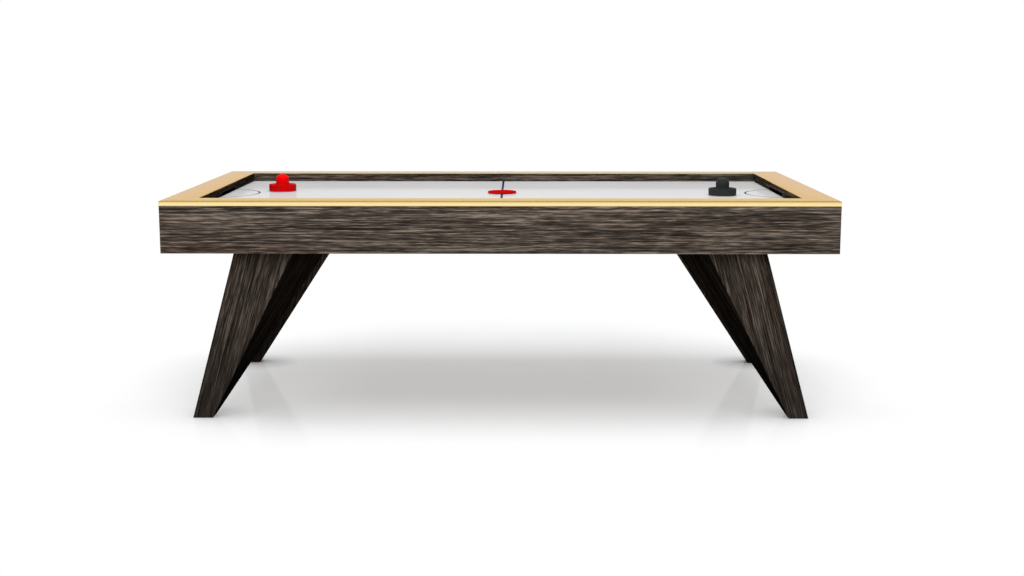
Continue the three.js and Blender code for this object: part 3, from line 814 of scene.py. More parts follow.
# ------------------------------------------------------------------ CAD nodes that keep their shape
def smooth_group(degrees):
    """Geometry nodes: drop imported normals, shade smooth, keep edges over the angle sharp."""
    group = bpy.data.node_groups.new(f"shade_by_angle_{degrees}", "GeometryNodeTree")
    for direction in ("INPUT", "OUTPUT"):
        group.interface.new_socket(
            "Geometry", in_out=direction, socket_type="NodeSocketGeometry"
        )
    start = group.nodes.new("NodeGroupInput")
    end = group.nodes.new("NodeGroupOutput")
    drop = group.nodes.new("GeometryNodeRemoveAttribute")
    drop.inputs["Name"].default_value = "custom_normal"
    face = group.nodes.new("GeometryNodeSetShadeSmooth")
    face.domain = "FACE"
    edge = group.nodes.new("GeometryNodeSetShadeSmooth")
    edge.domain = "EDGE"
    angle = group.nodes.new("GeometryNodeInputMeshEdgeAngle")
    less = group.nodes.new("FunctionNodeCompare")
    less.data_type = "FLOAT"
    less.operation = "LESS_THAN"
    less.inputs["B"].default_value = math.radians(degrees)
    group.links.new(start.outputs[0], drop.inputs[0])
    group.links.new(drop.outputs[0], face.inputs[0])
    group.links.new(face.outputs[0], edge.inputs[0])
    group.links.new(angle.outputs["Unsigned Angle"], less.inputs["A"])
    group.links.new(less.outputs[0], edge.inputs["Shade Smooth"])
    group.links.new(edge.outputs[0], end.inputs[0])
    return group


SMOOTH_GROUPS = {degrees: smooth_group(degrees) for degrees in (30, 40)}


def dress(name, material, bevel, segments=2, angle=40):
    """Gives a CAD node its material, and eased edges and clean shading from modifiers."""
    obj = NODES[name]
    for slot in obj.material_slots:
        slot.material = MATERIALS[material]
    weld = obj.modifiers.new("weld", "WELD")
    weld.merge_threshold = 0.00002
    planar = obj.modifiers.new("planar", "DECIMATE")
    planar.decimate_type = "DISSOLVE"
    planar.angle_limit = math.radians(0.6)
    planar.use_dissolve_boundaries = False
    shade = obj.modifiers.new("shade", "NODES")
    shade.node_group = SMOOTH_GROUPS[angle]
    edges = obj.modifiers.new("eased_edges", "BEVEL")
    edges.width = bevel
    edges.segments = segments
    edges.limit_method = "ANGLE"
    edges.angle_limit = math.radians(angle)
    edges.use_clamp_overlap = True
    edges.harden_normals = True


for edge_name in ENDS + SIDES:
    cap_brass = "brass_x" if edge_name in ENDS else "brass_y"
    dress(f"rail_cap_{edge_name}", cap_brass, bevel=0.0003)
    dress(f"rail_{edge_name}", f"veneer_rail_{edge_name}", bevel=0.0004)
    dress(f"apron_{edge_name}", f"veneer_{edge_name}", bevel=0.0005, segments=3)
for side in SIDES:
    dress(f"goal_liner_{side}", "liner", bevel=0.0004)
    dress(f"goal_box_{side}", "black", bevel=0.0006)
    dress(f"cross_beam_{side}", "ply_upright", bevel=0.0008)
    for end in ENDS:
        dress(f"corner_block_{end}_{side}", "ply_post", bevel=0.001)
        dress(f"leg_{end}_{side}", "leg", bevel=0.0009, segments=3, angle=30)
        dress(f"leg_plate_{end}_{side}", "steel", bevel=0.0005)
dress("base_panel", "ply_flat", bevel=0.0008)
dress("plenum_frame", "ply_flat", bevel=0.0006)
dress("plenum_floor", "ply_flat", bevel=0.0006)
for number in (1, 2, 3, 4):
    dress(f"plenum_rib_{number}", "ply_upright", bevel=0.0005)
dress("inlet_grille", "black", bevel=0.0004)
dress("blower_cover", "sheet", bevel=0.0003)
dress("switch_bezel", "black_satin", bevel=0.0004)


# ------------------------------------------------------------------ playing bed
HOLE_PITCH = 0.0282
HOLE_COLUMNS, HOLE_ROWS = 78, 39
HOLE_SIDES = 8
HOLE_TOP_RADIUS, HOLE_BOTTOM_RADIUS = 0.00105, 0.0008
# material slots of the bed
LAMINATE, INK, LINER = 0, 1, 2
CENTRE_LINE_HALF_WIDTH, CENTRE_LINE_HALF_LENGTH = 0.0045, 0.5544
ARC_CENTRE_X = 1.161
ARC_OUTER_RADIUS, ARC_INNER_RADIUS = 0.1862, 0.1784
ARC_STEPS = 96
GOAL_FLOOR_START_X, GOAL_FLOOR_HALF_WIDTH = 1.1001, 0.1446
GOAL_FLOOR_EDGE_GAP = 0.0004


def marked_shapes(half_length):
    """The outlines set into the bed's top, each with its material slot."""

    def rectangle(x0, x1, half_width):
        return [(x0, -half_width), (x1, -half_width), (x1, half_width), (x0, half_width)]

    centre_line = rectangle(
        -CENTRE_LINE_HALF_WIDTH, CENTRE_LINE_HALF_WIDTH, CENTRE_LINE_HALF_LENGTH
    )
    shapes = [(centre_line, INK)]
    # the arcs stop just short of the end rails
    arc_end_x = -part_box("rail_left")[1].x - 0.0001
    for side_sign in (-1, 1):

        def arc(radius):
            reach = math.acos((ARC_CENTRE_X - arc_end_x) / radius)
            angles = [reach * (1 - 2 * i / ARC_STEPS) for i in range(ARC_STEPS + 1)]
            return [
                (side_sign * (ARC_CENTRE_X - radius * math.cos(a)), radius * math.sin(a))
                for a in angles
            ]

        goal_arc = arc(ARC_OUTER_RADIUS) + arc(ARC_INNER_RADIUS)[::-1]
        # the black floor of the goal mouth
        goal_floor = rectangle(
            side_sign * GOAL_FLOOR_START_X,
            side_sign * (half_length - GOAL_FLOOR_EDGE_GAP),
            GOAL_FLOOR_HALF_WIDTH,
        )
        for outline, slot in ((goal_arc, INK), (goal_floor, LINER)):
            # the mirrored outline is reversed to keep its winding
            shapes.append((outline if side_sign > 0 else outline[::-1], slot))
    return shapes


def sheet_layer(half_length, half_width, hole_radius, shapes):
    """Triangulates the perforated sheet. Returns its points, faces and material slots."""
    points = [
        (-half_length, -half_width), (half_length, -half_width),
        (half_length, half_width), (-half_length, half_width),
    ]
    edges = [(0, 1), (1, 2), (2, 3), (3, 0)]
    outlines = []

    def add_outline(outline):
        outlines.append(list(range(len(points), len(points) + len(outline))))
        points.extend(outline)

    for i in range(HOLE_COLUMNS):
        for j in range(HOLE_ROWS):
            x = (i - (HOLE_COLUMNS - 1) / 2) * HOLE_PITCH
            y = (j - (HOLE_ROWS - 1) / 2) * HOLE_PITCH
            angles = [2 * math.pi * (k + 0.5) / HOLE_SIDES for k in range(HOLE_SIDES)]
            add_outline(
                [(x + hole_radius * math.cos(a), y + hole_radius * math.sin(a)) for a in angles]
            )
    hole_count = len(outlines)
    for outline, _ in shapes:
        add_outline(outline)
    result = delaunay_2d_cdt([Vector(p) for p in points], edges, outlines, 0, 1e-7, True)
    merged, triangles, origins = result[0], result[2], result[5]
    faces, slots = [], []
    for triangle, sources in zip(triangles, origins):
        if any(i < hole_count for i in sources):
            continue
        faces.append(tuple(triangle))
        inside = [shapes[i - hole_count][1] for i in sources if i >= hole_count]
        slots.append(max(inside, default=LAMINATE))
    return [(p.x, p.y) for p in merged], faces, slots


def facing(face, points, up):
    """The face wound so that it looks up, or down."""
    a, b, c = (points[i] for i in face[:3])
    turn = (b[0] - a[0]) * (c[1] - a[1]) - (b[1] - a[1]) * (c[0] - a[0])
    return face if (turn > 0) == up else face[::-1]


def boundary_loops(faces):
    """The rims of a layer, as loops of point indices."""
    directed = dict.fromkeys(
        (a, b) for face in faces for a, b in zip(face, face[1:] + face[:1])
    )
    following = {a: b for a, b in directed if (b, a) not in directed}
    loops = []
    while following:
        current = next(iter(following))
        loop = []
        while current in following:
            loop.append(current)
            current = following.pop(current)
        loops.append(loop)
    return loops


def loop_key(loop, points):
    """'edge' for the sheet's outline, else the hole's place in half pitches."""
    x = sum(points[i][0] for i in loop) / len(loop)
    y = sum(points[i][1] for i in loop) / len(loop)
    first = points[loop[0]]
    if len(loop) > 30 or max(abs(first[0] - x), abs(first[1] - y)) > 0.01:
        return "edge"
    return (round(x / HOLE_PITCH * 2), round(y / HOLE_PITCH * 2))


def rim_partners(key, top_loop, top_points, low_loop, low_points):
    """For each top rim point, the low point below it, or None where there is none."""
    if key == "edge":

        def place(point):
            return (round(point[0], 4), round(point[1], 4))

    else:
        centre_x, centre_y = (half_pitches * HOLE_PITCH / 2 for half_pitches in key)

        def place(point):
            angle = math.atan2(point[1] - centre_y, point[0] - centre_x)
            return round(angle * HOLE_SIDES / (2 * math.pi) * 4)

    by_place = {place(low_points[i]): i for i in low_loop}
    return [by_place.get(place(top_points[i])) for i in top_loop]


def playing_bed():
    """The laminate sheet with every air hole cut through it and its lines as own faces."""
    low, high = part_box("playing_bed")
    top_points, top_faces, indices = sheet_layer(
        high.x, high.y, HOLE_TOP_RADIUS, marked_shapes(high.x)
    )
    low_points, low_faces, _ = sheet_layer(high.x, high.y, HOLE_BOTTOM_RADIUS, [])
    top_faces = [facing(face, top_points, up=True) for face in top_faces]
    low_faces = [facing(face, low_points, up=False) for face in low_faces]
    top_count = len(top_points)
    verts = [(x, y, high.z) for x, y in top_points] + [(x, y, low.z) for x, y in low_points]
    faces = top_faces + [tuple(i + top_count for i in face) for face in low_faces]

    # walls join the rims of the two layers
    low_by_key = {loop_key(loop, low_points): loop for loop in boundary_loops(low_faces)}
    for loop in boundary_loops(top_faces):
        key = loop_key(loop, top_points)
        partners = rim_partners(key, loop, top_points, low_by_key[key], low_points)
        first = next(i for i, partner in enumerate(partners) if partner is not None)
        loop = loop[first:] + loop[:first]
        partners = partners[first:] + partners[:first]
        for i in range(1, len(loop)):
            # a rim point that a line added shares the lower point of the one before it
            if partners[i] is None:
                partners[i] = partners[i - 1]
        for i in range(len(loop)):
            j = (i + 1) % len(loop)
            below, below_next = partners[i] + top_count, partners[j] + top_count
            wall = (loop[j], loop[i], below)
            faces.append(wall if below == below_next else (*wall, below_next))
    indices += [LAMINATE] * (len(faces) - len(indices))
    materials = [MATERIALS[key] for key in ("bed", "ink", "liner")]
    bed = mesh_object("bed_sheet", verts, faces, materials, smooth=False, indices=indices)
    register(bed, "table", "bed_laminate", "playing_bed")


playing_bed()


# ------------------------------------------------------------------ mallets and puck
# hollow underside of a mallet: radius, height above its foot, in mm
MALLET_HOLLOW = [
    (0, 61.9), (9.0, 60.4), (17.6, 54.6), (21.2, 44), (21.8, 14), (27.6, 9.5), (47.5, 9.5),
    (48.6, 8.4), (48.6, 0),
]
# dish and domed grip of a mallet, from inside the rim to the top: radius, height, in mm
MALLET_GRIP = [
    (43.6, 19.0), (39.0, 17.2), (33.6, 17.4), (29.0, 19.8), (26.9, 25.0), (26.3, 31.6),
    (26.5, 38.6), (26.7, 44.2), (26.4, 48.8), (25.1, 53.6), (22.1, 58.2), (17.2, 62.1),
    (10.5, 65.2), (5.2, 66.2), (0, 66.3),
]
# outer wall and rim of a mallet: distance in from the full radius, height, in mm
MALLET_RIM = [
    (0, 0.9), (0, 1.8), (0, 11.0), (0, 24.2), (0, 25.2), (0.5, 25.9), (1.6, 26.1),
    (4.2, 25.8), (7.6, 23.0),
]
MALLET_FOOT_INSET = 0.9


def mallet(side, material, slot):
    body = f"{side}_mallet"
    centre, bottom, _, radius = round_box(f"mallet_{side}")
    rim = [(radius - inset, z) for inset, z in MALLET_RIM]
    outline = [
        *eased(MALLET_HOLLOW, 0.8, steps=3),
        (radius - MALLET_FOOT_INSET, 0),
        *corner_cut(rim + MALLET_GRIP, passes=2),
    ]
    profile = [(r, bottom + z) for r, z in outline]
    shell = turned(f"mallet_body_{side}", profile, centre, material, segments=128)
    register(sharpen(shell, 40), body, slot, f"mallet_{side}")

    _, bottom, top, radius = round_box(f"mallet_felt_{side}")
    pad_profile = [
        (0, bottom), (radius - 1.2, bottom), (radius - 0.4, bottom + 0.25),
        (radius, bottom + 0.8), (radius - 0.1, top - 0.2), (radius - 0.5, top), (0, top),
    ]
    pad = turned(
        f"mallet_pad_{side}", corner_cut(pad_profile, passes=1), centre, "felt", segments=128
    )
    register(sharpen(pad, 50), body, "felt", f"mallet_felt_{side}")


mallet("left", "red_mallet", "red_plastic")
mallet("right", "dark_mallet", "dark_plastic")


def puck():
    """A flat disc, the same on both faces, with a fine ring and a raised border."""
    centre, bottom, top, radius = round_box("puck")
    # radius, depth below the border's face
    half = [
        (0, 0.6), (12, 0.6), (13.2, 0.9), (14.4, 0.6), (radius - 10.5, 0.6),
        (radius - 8.0, 0.0), (radius - 2.4, 0.0), (radius - 0.7, 0.5), (radius, 1.9),
    ]
    profile = [(r, bottom + depth) for r, depth in half]
    profile += [(r, top - depth) for r, depth in reversed(half)]
    disc = turned("puck_disc", eased(profile, 0.9, steps=4), centre, "puck", segments=160)
    register(sharpen(disc, 40), "puck", "puck_plastic", "puck")


puck()


# ------------------------------------------------------------------ levelling glides
# rubber pad: radius, z, in mm
GLIDE_PAD = [
    (0, 0.0), (22.2, 0.0), (24, 1.4), (24, 4.6), (22.4, 6.5), (8, 6.5), (8, 5.4), (0, 5.4),
]
THREAD_START, THREAD_PITCH, THREAD_TURNS = 8.6, 1.0, 52
THREAD_ROOT_RADIUS, THREAD_CREST_RADIUS = 4.35, 4.95


def glide(end, side):
    """A rubber pad with a threaded steel stem."""
    node, foot = f"glide_{end}_{side}", f"foot_{end}_{side}"
    centre = round_box(node)[0]
    pad = turned(
        f"glide_pad_{end}_{side}", eased(GLIDE_PAD, 0.7, steps=4), centre, "rubber",
        segments=96,
    )
    register(sharpen(pad, 45), foot, "rubber", node)
    profile = [(0, 5.6), (7.4, 5.6), (7.4, THREAD_START), (5.0, THREAD_START)]
    for i in range(THREAD_TURNS):
        z = THREAD_START + i * THREAD_PITCH
        profile.append((THREAD_ROOT_RADIUS, z + THREAD_PITCH / 2))
        profile.append((THREAD_CREST_RADIUS, z + THREAD_PITCH))
    profile += [(4.2, 61.6), (3.4, 62.0), (0, 62.0)]
    stem = turned(f"glide_stem_{end}_{side}", profile, centre, "steel", segments=40)
    register(sharpen(stem, 50), foot, "steel")


for end in ENDS:
    for side in SIDES:
        glide(end, side)


# ------------------------------------------------------------------ blower, motor and fan
BLOWER_AXIS = (0, 0)
# profiles: radius, z, in mm
BLOWER_SHELL = [
    (60, 664), (150, 664), (150, 721), (162, 721), (162, 724.75), (147, 724.75), (147, 667),
    (63, 667), (63, 670), (60, 670),
]
BLOWER_SEAL = [(142, 728.25), (162, 728.25), (162, 732), (142, 732)]
MOTOR_BEARING = [(4.5, 728.5), (9.6, 728.5), (9.6, 736), (4.5, 736)]
MOTOR_SHAFT = [
    (0, 678), (3.4, 678), (4, 678.6), (4, 740), (30, 740), (30, 758), (4, 758), (4, 763.4),
    (3.4, 764), (0, 764),
]


def motor_can_profile():
    """A hollow can, open below, with six cooling fins around its wall."""
    profile = [(0, 770), (30, 770), (37, 769.4), (42, 765)]
    for z in range(762, 733, -5):
        profile += [(42, z), (39.6, z - 0.6), (39.6, z - 2.4), (42, z - 3.0)]
    profile += [(42, 728.25), (10, 728.25), (10, 731), (38, 731), (38, 764), (36, 767), (0, 767)]
    return profile


def blower_part(
    name, node, profile, material, slot, easing, body="table", segments=128, closed=True
):
    profile = eased(profile, easing, steps=3, closed=closed)
    part = turned(name, profile, BLOWER_AXIS, material, segments, closed)
    register(sharpen(part, 35), body, slot, node)


blower_part(
    "blower_shell", "blower_housing", BLOWER_SHELL, "sheet", "blower_metal", easing=1.6
)
blower_part("blower_seal", "blower_gasket", BLOWER_SEAL, "rubber", "rubber", easing=0.9)
blower_part(
    "motor_can", "motor_casing", motor_can_profile(), "cast", "steel",
    easing=0.5, segments=96, closed=False,
)
blower_part(
    "motor_bearing_ring", "motor_bearing", MOTOR_BEARING, "steel", "steel",
    easing=0.5, segments=72,
)
blower_part(
    "motor_shaft", "motor_rotor", MOTOR_SHAFT, "steel", "steel",
    easing=0.6, body="fan", segments=72, closed=False,
)

BLADE_COUNT, BLADE_STEPS = 16, 12
BLADE_INNER_RADIUS, BLADE_TIP_GAP = 64, 1.2
BLADE_BOTTOM, BLADE_TOP = 0.6756, 0.7148


def blade_outline(start_angle, tip_radius):
    """A thin blade seen from above, curving back as it runs outward. Points in metres."""
    leading, trailing = [], []
    for i in range(BLADE_STEPS + 1):
        u = i / BLADE_STEPS
        radius = BLADE_INNER_RADIUS + (tip_radius - BLADE_INNER_RADIUS) * u
        angle = start_angle - 0.42 * u - 0.1 * u * u
        # half thickness in mm, thinner at both ends, turned into an angle
        spread = (0.9 - 0.35 * abs(2 * u - 1) ** 3) / radius
        for points, theta in ((leading, angle - spread), (trailing, angle + spread)):
            points.append((radius * math.cos(theta) * MM, radius * math.sin(theta) * MM))
    return leading + trailing[::-1]


def impeller():
    """A dished disc above, a flat ring below and curved blades between them."""
    radius = round_box("fan_impeller")[3]
    disc_profile = [
        (4.4, 690), (12, 690), (14, 700), (22, 706.5), (40, 713.4), (radius, 714),
        (radius, 716.5), (4.4, 716.5),
    ]
    ring_profile = [(62, 674), (radius, 674), (radius, 676.5), (62, 676.5)]
    solid = bmesh.new()
    for name, profile in (
        ("impeller_disc", eased(disc_profile, 1.2, steps=4, closed=True)),
        ("impeller_ring", eased(ring_profile, 0.8, steps=3, closed=True)),
    ):
        part = turned(name, profile, BLOWER_AXIS, "black", segments=128, closed=True)
        solid.from_mesh(part.data)
        bpy.data.objects.remove(part)
    for k in range(BLADE_COUNT):
        start_angle = 2 * math.pi * k / BLADE_COUNT
        outline = blade_outline(start_angle, radius - BLADE_TIP_GAP)
        low = [(x, y, BLADE_BOTTOM) for x, y in outline]
        add_prism(solid, low, [(x, y, BLADE_TOP) for x, y in outline])
    wheel = solid_object("impeller", solid, "black", sharp_angle=40)
    register(wheel, "fan", "black_plastic", "fan_impeller")


impeller()


# ------------------------------------------------------------------ power switch and wiring
ROCKER_FACE_X = 1.2185 - 0.00325
ROCKER_Z = 0.716
ROCKER_TILT = math.radians(8)
# in mm: the pivot's place outward from the face, half the height, and the hollow face
ROCKER_PIVOT = -4.2
ROCKER_HALF_HEIGHT = 11
ROCKER_FRONT, ROCKER_HOLLOW = 1.2, 1.5
ROCKER_STEPS = 24


def rocker():
    """The switch's rocker: a side outline with a hollow face, tilted and run along y."""
    # points are (outward, up) in mm
    outline = [(-2.4, ROCKER_HALF_HEIGHT)]
    for i in range(ROCKER_STEPS + 1):
        hollow = ROCKER_HOLLOW * (1 - (i / (ROCKER_STEPS / 2) - 1) ** 2)
        up = ROCKER_HALF_HEIGHT - 2 * ROCKER_HALF_HEIGHT * i / ROCKER_STEPS
        outline.append((ROCKER_FRONT - hollow, up))
    outline += [(-2.4, -ROCKER_HALF_HEIGHT), (-6.5, -8.5), (-9, -4), (-9, 4), (-6.5, 8.5)]
    cosine, sine = math.cos(ROCKER_TILT), math.sin(ROCKER_TILT)
    points = []
    for outward, up in eased(outline, 0.5, steps=3, closed=True):
        arm = outward - ROCKER_PIVOT
        x = ROCKER_FACE_X + (ROCKER_PIVOT + arm * cosine + up * sine) * MM
        points.append((x, ROCKER_Z + (-arm * sine + up * cosine) * MM))
    low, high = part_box("switch_rocker")
    solid = bmesh.new()
    add_prism(solid, [(x, low.y, z) for x, z in points], [(x, high.y, z) for x, z in points])
    cap = solid_object("rocker_cap", solid, "red_switch", sharp_angle=40)
    edges = cap.modifiers.new("eased_edges", "BEVEL")
    edges.width = 0.0004
    edges.segments = 3
    edges.limit_method = "ANGLE"
    edges.angle_limit = math.radians(50)
    edges.harden_normals = True
    register(cap, "rocker", "red_switch", "switch_rocker")


rocker()

CABLE_RADIUS = 0.0034
CABLE_SIDES = 16
CABLE_STEPS = 8
# x, y, z from the switch to the motor
CABLE_PATH = [
    (1.196, 0.430, 0.716), (1.180, 0.428, 0.710), (1.120, 0.420, 0.690),
    (1.000, 0.380, 0.686), (0.900, 0.322, 0.6935), (0.850, 0.320, 0.694),
    (0.800, 0.318, 0.6935), (0.600, 0.250, 0.674), (0.380, 0.150, 0.672),
    (0.220, 0.070, 0.680), (0.163, 0.044, 0.694),
]


def smooth_path(path, steps):
    """A Catmull-Rom curve through the path's points."""
    points = [Vector(p) for p in path]
    curve = []
    for i in range(len(points) - 1):
        before, start, end = points[max(i - 1, 0)], points[i], points[i + 1]
        after = points[min(i + 2, len(points) - 1)]
        for k in range(steps):
            u = k / steps
            curve.append(
                0.5
                * (
                    (2 * start)
                    + (end - before) * u
                    + (2 * before - 5 * start + 4 * end - after) * u * u
                    + (3 * start - before - 3 * end + after) * u**3
                )
            )
    curve.append(points[-1])
    return curve


def supply_cable():
    """A round cord swept along its path, closed at both ends."""
    curve = smooth_path(CABLE_PATH, CABLE_STEPS)
    last = len(curve) - 1
    up = Vector((0, 0, 1))
    verts, faces = [], []
    for i, point in enumerate(curve):
        heading = (curve[min(i + 1, last)] - curve[max(i - 1, 0)]).normalized()
        across = heading.cross(up).normalized()
        rise = across.cross(heading).normalized()
        for k in range(CABLE_SIDES):
            angle = 2 * math.pi * k / CABLE_SIDES
            offset = (across * math.cos(angle) + rise * math.sin(angle)) * CABLE_RADIUS
            verts.append(point + offset)
    for i in range(last):
        here, ahead = i * CABLE_SIDES, (i + 1) * CABLE_SIDES
        for k in range(CABLE_SIDES):
            j = (k + 1) % CABLE_SIDES
            faces.append((here + k, here + j, ahead + j, ahead + k))
    faces.append(tuple(range(CABLE_SIDES)))
    faces.append(tuple(range(last * CABLE_SIDES, len(curve) * CABLE_SIDES))[::-1])
    cable = mesh_object("supply_cable", verts, faces, [MATERIALS["rubber"]])
    orient_faces(cable)
    register(sharpen(cable, 50), "table", "rubber", "power_cable")


supply_cable()


# ------------------------------------------------------------------ fasteners
def add_screw(solid, matrix, radius, head, shank, hexagonal):
    """One closed screw, its head rising from the origin along the matrix's z axis."""
    count = 6 if hexagonal else 32

    def lobe(angle):
        """Radius factor of the drive recess: four lobes in a round head."""
        return 1.0 if hexagonal else 0.42 + 0.58 * abs(math.cos(2 * angle)) ** 1.5

    def ring(ring_radius, z, lobed=False):
        verts = []
        for k in range(count):
            angle = 2 * math.pi * k / count
            reach = ring_radius * (lobe(angle) if lobed else 1.0)
            place = Vector((reach * math.cos(angle), reach * math.sin(angle), z))
            verts.append(solid.verts.new(matrix @ place))
        return verts

    # radius and height, as shares of the head's own
    if hexagonal:
        head_profile = [(1, 0.0), (1, 0.82), (0.90, 1)]
        rim_share, floor_share, depth_share = 0.42, 0.30, 0.7
    else:
        head_profile = [(1, 0.0), (1, 0.25), (0.93, 0.62), (0.74, 0.90), (0.48, 1)]
        rim_share, floor_share, depth_share = 0.40, 0.26, 0.75
    tip = solid.verts.new(matrix @ Vector((0, 0, -shank)))
    rings = [
        ring(radius * 0.42, -shank + radius * 0.3),
        ring(radius * 0.5, -shank * 0.9),
        ring(radius * 0.5, 0.0),
    ]
    rings += [ring(radius * wide, head * tall) for wide, tall in head_profile]
    following = [(k, (k + 1) % count) for k in range(count)]
    for k, j in following:
        solid.faces.new((tip, rings[0][j], rings[0][k]))
    for first, second in zip(rings, rings[1:]):
        for k, j in following:
            solid.faces.new((first[k], first[j], second[j], second[k]))
    # the drive recess sunk in the head's top
    top = rings[-1]
    rim = ring(radius * rim_share, head, lobed=True)
    floor_ring = ring(radius * floor_share, head - head * depth_share, lobed=True)
    for k, j in following:
        solid.faces.new((top[k], top[j], rim[j], rim[k]))
        solid.faces.new((rim[k], rim[j], floor_ring[j], floor_ring[k]))
    solid.faces.new(floor_ring)


def screws(name, places, material, radius, head, shank, hexagonal=False):
    """A set of screws with their heads pointing down, as one object."""
    turn = Vector((0, 0, -1)).to_track_quat("Z", "Y").to_matrix().to_4x4()
    solid = bmesh.new()
    for place in places:
        matrix = Matrix.Translation(Vector(place)) @ turn
        add_screw(solid, matrix, radius, head, shank, hexagonal)
    register(solid_object(name, solid, material, sharp_angle=35), "table", "steel")


def circle_of_eight(radius, z, start=0.0):
    angles = [start + i * math.pi / 4 for i in range(8)]
    return [(radius * math.cos(a), radius * math.sin(a), z) for a in angles]


def base_edge_places(inset=0.014):
    """Screw places around the underside of the base panel."""
    low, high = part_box("base_panel")
    edge_x, edge_y = high.x - inset, high.y - inset
    places = []
    for i in range(9):
        x = -edge_x + 2 * edge_x * i / 8
        places += [(x, -edge_y, low.z), (x, edge_y, low.z)]
    for i in range(1, 5):
        y = -edge_y + 2 * edge_y * i / 5
        places += [(-edge_x, y, low.z), (edge_x, y, low.z)]
    return places


base_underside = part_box("base_panel")[0].z
screws(
    "base_screws", base_edge_places(), "dark_steel", radius=0.0042, head=0.0018, shank=0.009
)
screws(
    "beam_screws",
    [(x, y, base_underside) for x in (-0.85, 0.85) for y in (-0.15, 0.0, 0.15)],
    "dark_steel", radius=0.0042, head=0.0018, shank=0.009,
)
screws(
    "grille_screws",
    circle_of_eight(0.1005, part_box("inlet_grille")[0].z, start=math.pi / 8),
    "steel", radius=0.0034, head=0.0018, shank=0.007,
)
screws(
    "housing_screws", circle_of_eight(0.1555, 0.721),
    "steel", radius=0.0042, head=0.0026, shank=0.006, hexagonal=True,
)


# ------------------------------------------------------------------ camera
CAMERA_PLACE = (0.07124, -5.74225, 1.3471)
# radians: yaw turns from +y towards +x, pitch tips down, roll is about the line of sight
CAMERA_YAW, CAMERA_PITCH, CAMERA_ROLL = -0.00540, 0.16158, 0.00028
SENSOR_WIDTH, FOCAL_LENGTH = 36.0, 50.3005078


def add_camera(scene):
    forward = Vector((
        math.sin(CAMERA_YAW) * math.cos(CAMERA_PITCH),
        math.cos(CAMERA_YAW) * math.cos(CAMERA_PITCH),
        -math.sin(CAMERA_PITCH),
    ))
    level_right = Vector((math.cos(CAMERA_YAW), -math.sin(CAMERA_YAW), 0.0))
    level_up = level_right.cross(forward)
    right = level_right * math.cos(CAMERA_ROLL) + level_up * math.sin(CAMERA_ROLL)
    up = level_up * math.cos(CAMERA_ROLL) - level_right * math.sin(CAMERA_ROLL)
    data = bpy.data.cameras.new("camera")
    data.sensor_width = SENSOR_WIDTH
    data.sensor_fit = "HORIZONTAL"
    data.lens = FOCAL_LENGTH
    data.clip_start = 0.05
    data.clip_end = 200
    camera = link_object("camera", data)
    rows = zip(right, up, -forward, CAMERA_PLACE)
    camera.matrix_world = Matrix((*(tuple(row) for row in rows), (0, 0, 0, 1)))
    scene.camera = camera


scene = bpy.context.scene
add_camera(scene)
scene.view_settings.view_transform = "Standard"
scene.view_settings.look = "None"
scene.view_settings.exposure = 0.0
scene.view_settings.gamma = 1.0


# ------------------------------------------------------------------ floor, world and lights
def floor_material():
    """A pale, faintly glossy floor that fades to pure white away from the table."""
    mat = new_material("pale_floor")
    point = mat.coord()
    x, y, _ = mat.xyz(point)
    # distance in an ellipse a little way outside the table's own shadow
    ellipse = mat.join(
        mat.math("DIVIDE", x, 1.75), mat.math("DIVIDE", mat.minus(y, 0.25), 1.25), 0.0
    )
    far = mat.vec("LENGTH", ellipse)
    grain = mat.noise(point, scale=6.0, detail=3)
    pale = mat.mix(
        mat.linear(grain, (0.3, 0.7)), (0.770, 0.778, 0.790, 1), (0.790, 0.798, 0.810, 1)
    )
    diffuse = mat.shader("ShaderNodeBsdfDiffuse", Color=pale)
    # a glow lifts the floor, more at the back and ends, less where something stands on it
    near = mat.node("ShaderNodeAmbientOcclusion", samples=8)
    mat.put(near.inputs["Distance"], 0.14)
    contact = mat.math("POWER", near.outputs["AO"], 1.4)
    ends = mat.times(
        mat.step(mat.math("ABSOLUTE", x), (0.45, 1.15), to=(0.0, 0.11)),
        mat.step(y, (-0.55, -0.10)),
    )
    lift = mat.add(mat.step(y, (0.1, 0.9), to=(0.315, 0.38)), ends)
    glow = mat.shader("ShaderNodeEmission", Color=WHITE, Strength=mat.times(lift, contact))
    lit = mat.fill(mat.node("ShaderNodeAddShader"), diffuse, glow).outputs[0]
    gloss = mat.shader("ShaderNodeBsdfGlossy", Color=WHITE, Roughness=0.10)
    sheen = mat.mix_shader(0.07, lit, gloss)
    white = mat.shader("ShaderNodeEmission", Color=WHITE, Strength=1.0)
    faded = mat.mix_shader(mat.step(far, (0.72, 1.18)), sheen, white)
    # a dull stand-in for diffuse rays keeps the floor from lighting the table
    dull = mat.shader("ShaderNodeBsdfDiffuse", Color=(0.07, 0.07, 0.07, 1))
    diffuse_ray = mat.node("ShaderNodeLightPath").outputs["Is Diffuse Ray"]
    above = mat.mix_shader(diffuse_ray, faded, dull)
    # seen from below, the floor lets the view through
    clear = mat.shader("ShaderNodeBsdfTransparent")
    return mat.output(mat.mix_shader(mat.geometry("Backfacing"), above, clear))


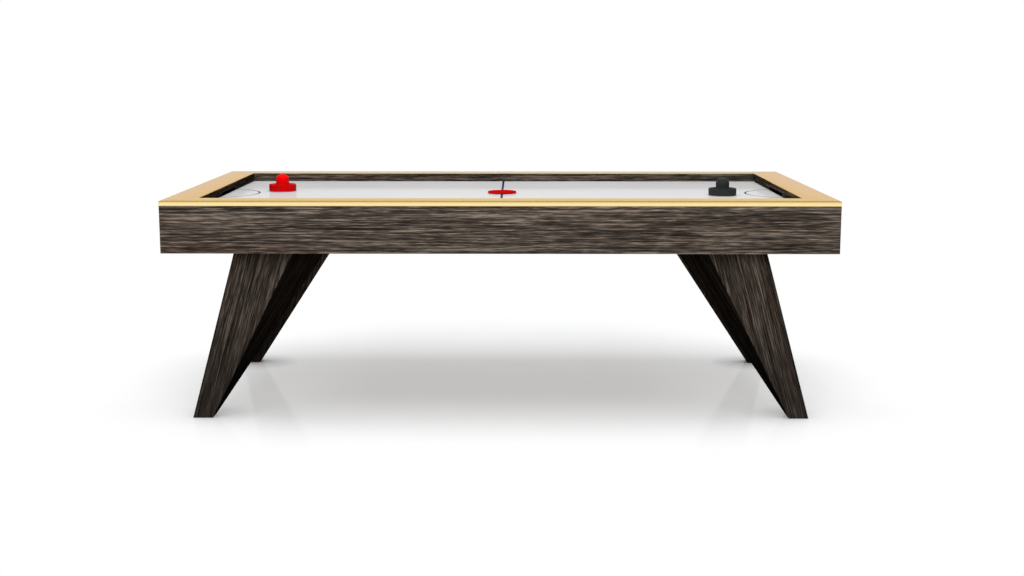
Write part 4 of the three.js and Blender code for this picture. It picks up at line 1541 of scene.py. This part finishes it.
def floor():
    """A wide disc just under z = 0."""
    radius, z, sides = 60, -0.0002, 64
    angles = [2 * math.pi * k / sides for k in range(sides)]
    verts = [(0, 0, z)] + [(radius * math.cos(a), radius * math.sin(a), z) for a in angles]
    faces = [(0, k + 1, (k + 1) % sides + 1) for k in range(sides)]
    mesh_object("floor", verts, faces, [floor_material()], smooth=False)


floor()


def studio_world():
    """White to the camera, with separate light for diffuse and for polished surfaces."""
    sky = Shader(bpy.data.worlds.new("studio"))
    _, y, z = sky.xyz(sky.coord("Generated"))
    toward_y = sky.math("ABSOLUTE", y)

    def background(strength):
        return sky.shader("ShaderNodeBackground", Color=WHITE, Strength=strength)

    # soft light from the front and back near the horizon, dim sides, an even ceiling
    horizon = sky.step(toward_y, (0.35, 0.85), to=(0.07, 0.50))
    ceiling = sky.step(z, (0.10, 0.60))
    fill = background(sky.mix(ceiling, horizon, 0.34, data="FLOAT"))
    # what polished surfaces see: a pale room, darker towards the ends and overhead
    front = sky.step(y, (-0.3, 0.3), to=(1.10, 0.93))
    shine = sky.times(sky.step(toward_y, (0.15, 0.75), to=(0.50, 1.0)), front)
    shine = sky.times(shine, sky.step(z, (0.25, 0.75), to=(1.0, 0.55)))
    path = sky.node("ShaderNodeLightPath").outputs
    lighting = sky.mix_shader(path["Is Glossy Ray"], fill, background(shine))
    seen = sky.mix_shader(path["Is Camera Ray"], lighting, background(1.0))
    return sky.output(seen, "ShaderNodeOutputWorld")


scene.world = studio_world()


def area_light(name, place, target, size, power):
    """A rectangular lamp aimed at target, unseen by the camera and in reflections."""
    data = bpy.data.lights.new(name, "AREA")
    data.shape = "RECTANGLE"
    data.size, data.size_y = size
    data.energy = power
    lamp = link_object(name, data)
    lamp.location = place
    lamp.rotation_mode = "QUATERNION"
    lamp.rotation_quaternion = (Vector(target) - Vector(place)).to_track_quat("-Z", "Y")
    lamp.visible_camera = False
    lamp.visible_glossy = False


area_light(
    "key_overhead", place=(0.0, -1.0, 4.2), target=(0, -0.999, 0.0), size=(5.0, 5.0), power=165
)
area_light(
    "fill_front", place=(0.0, -6.4, 3.0), target=(0, 0, 0.6), size=(5.0, 2.4), power=120
)
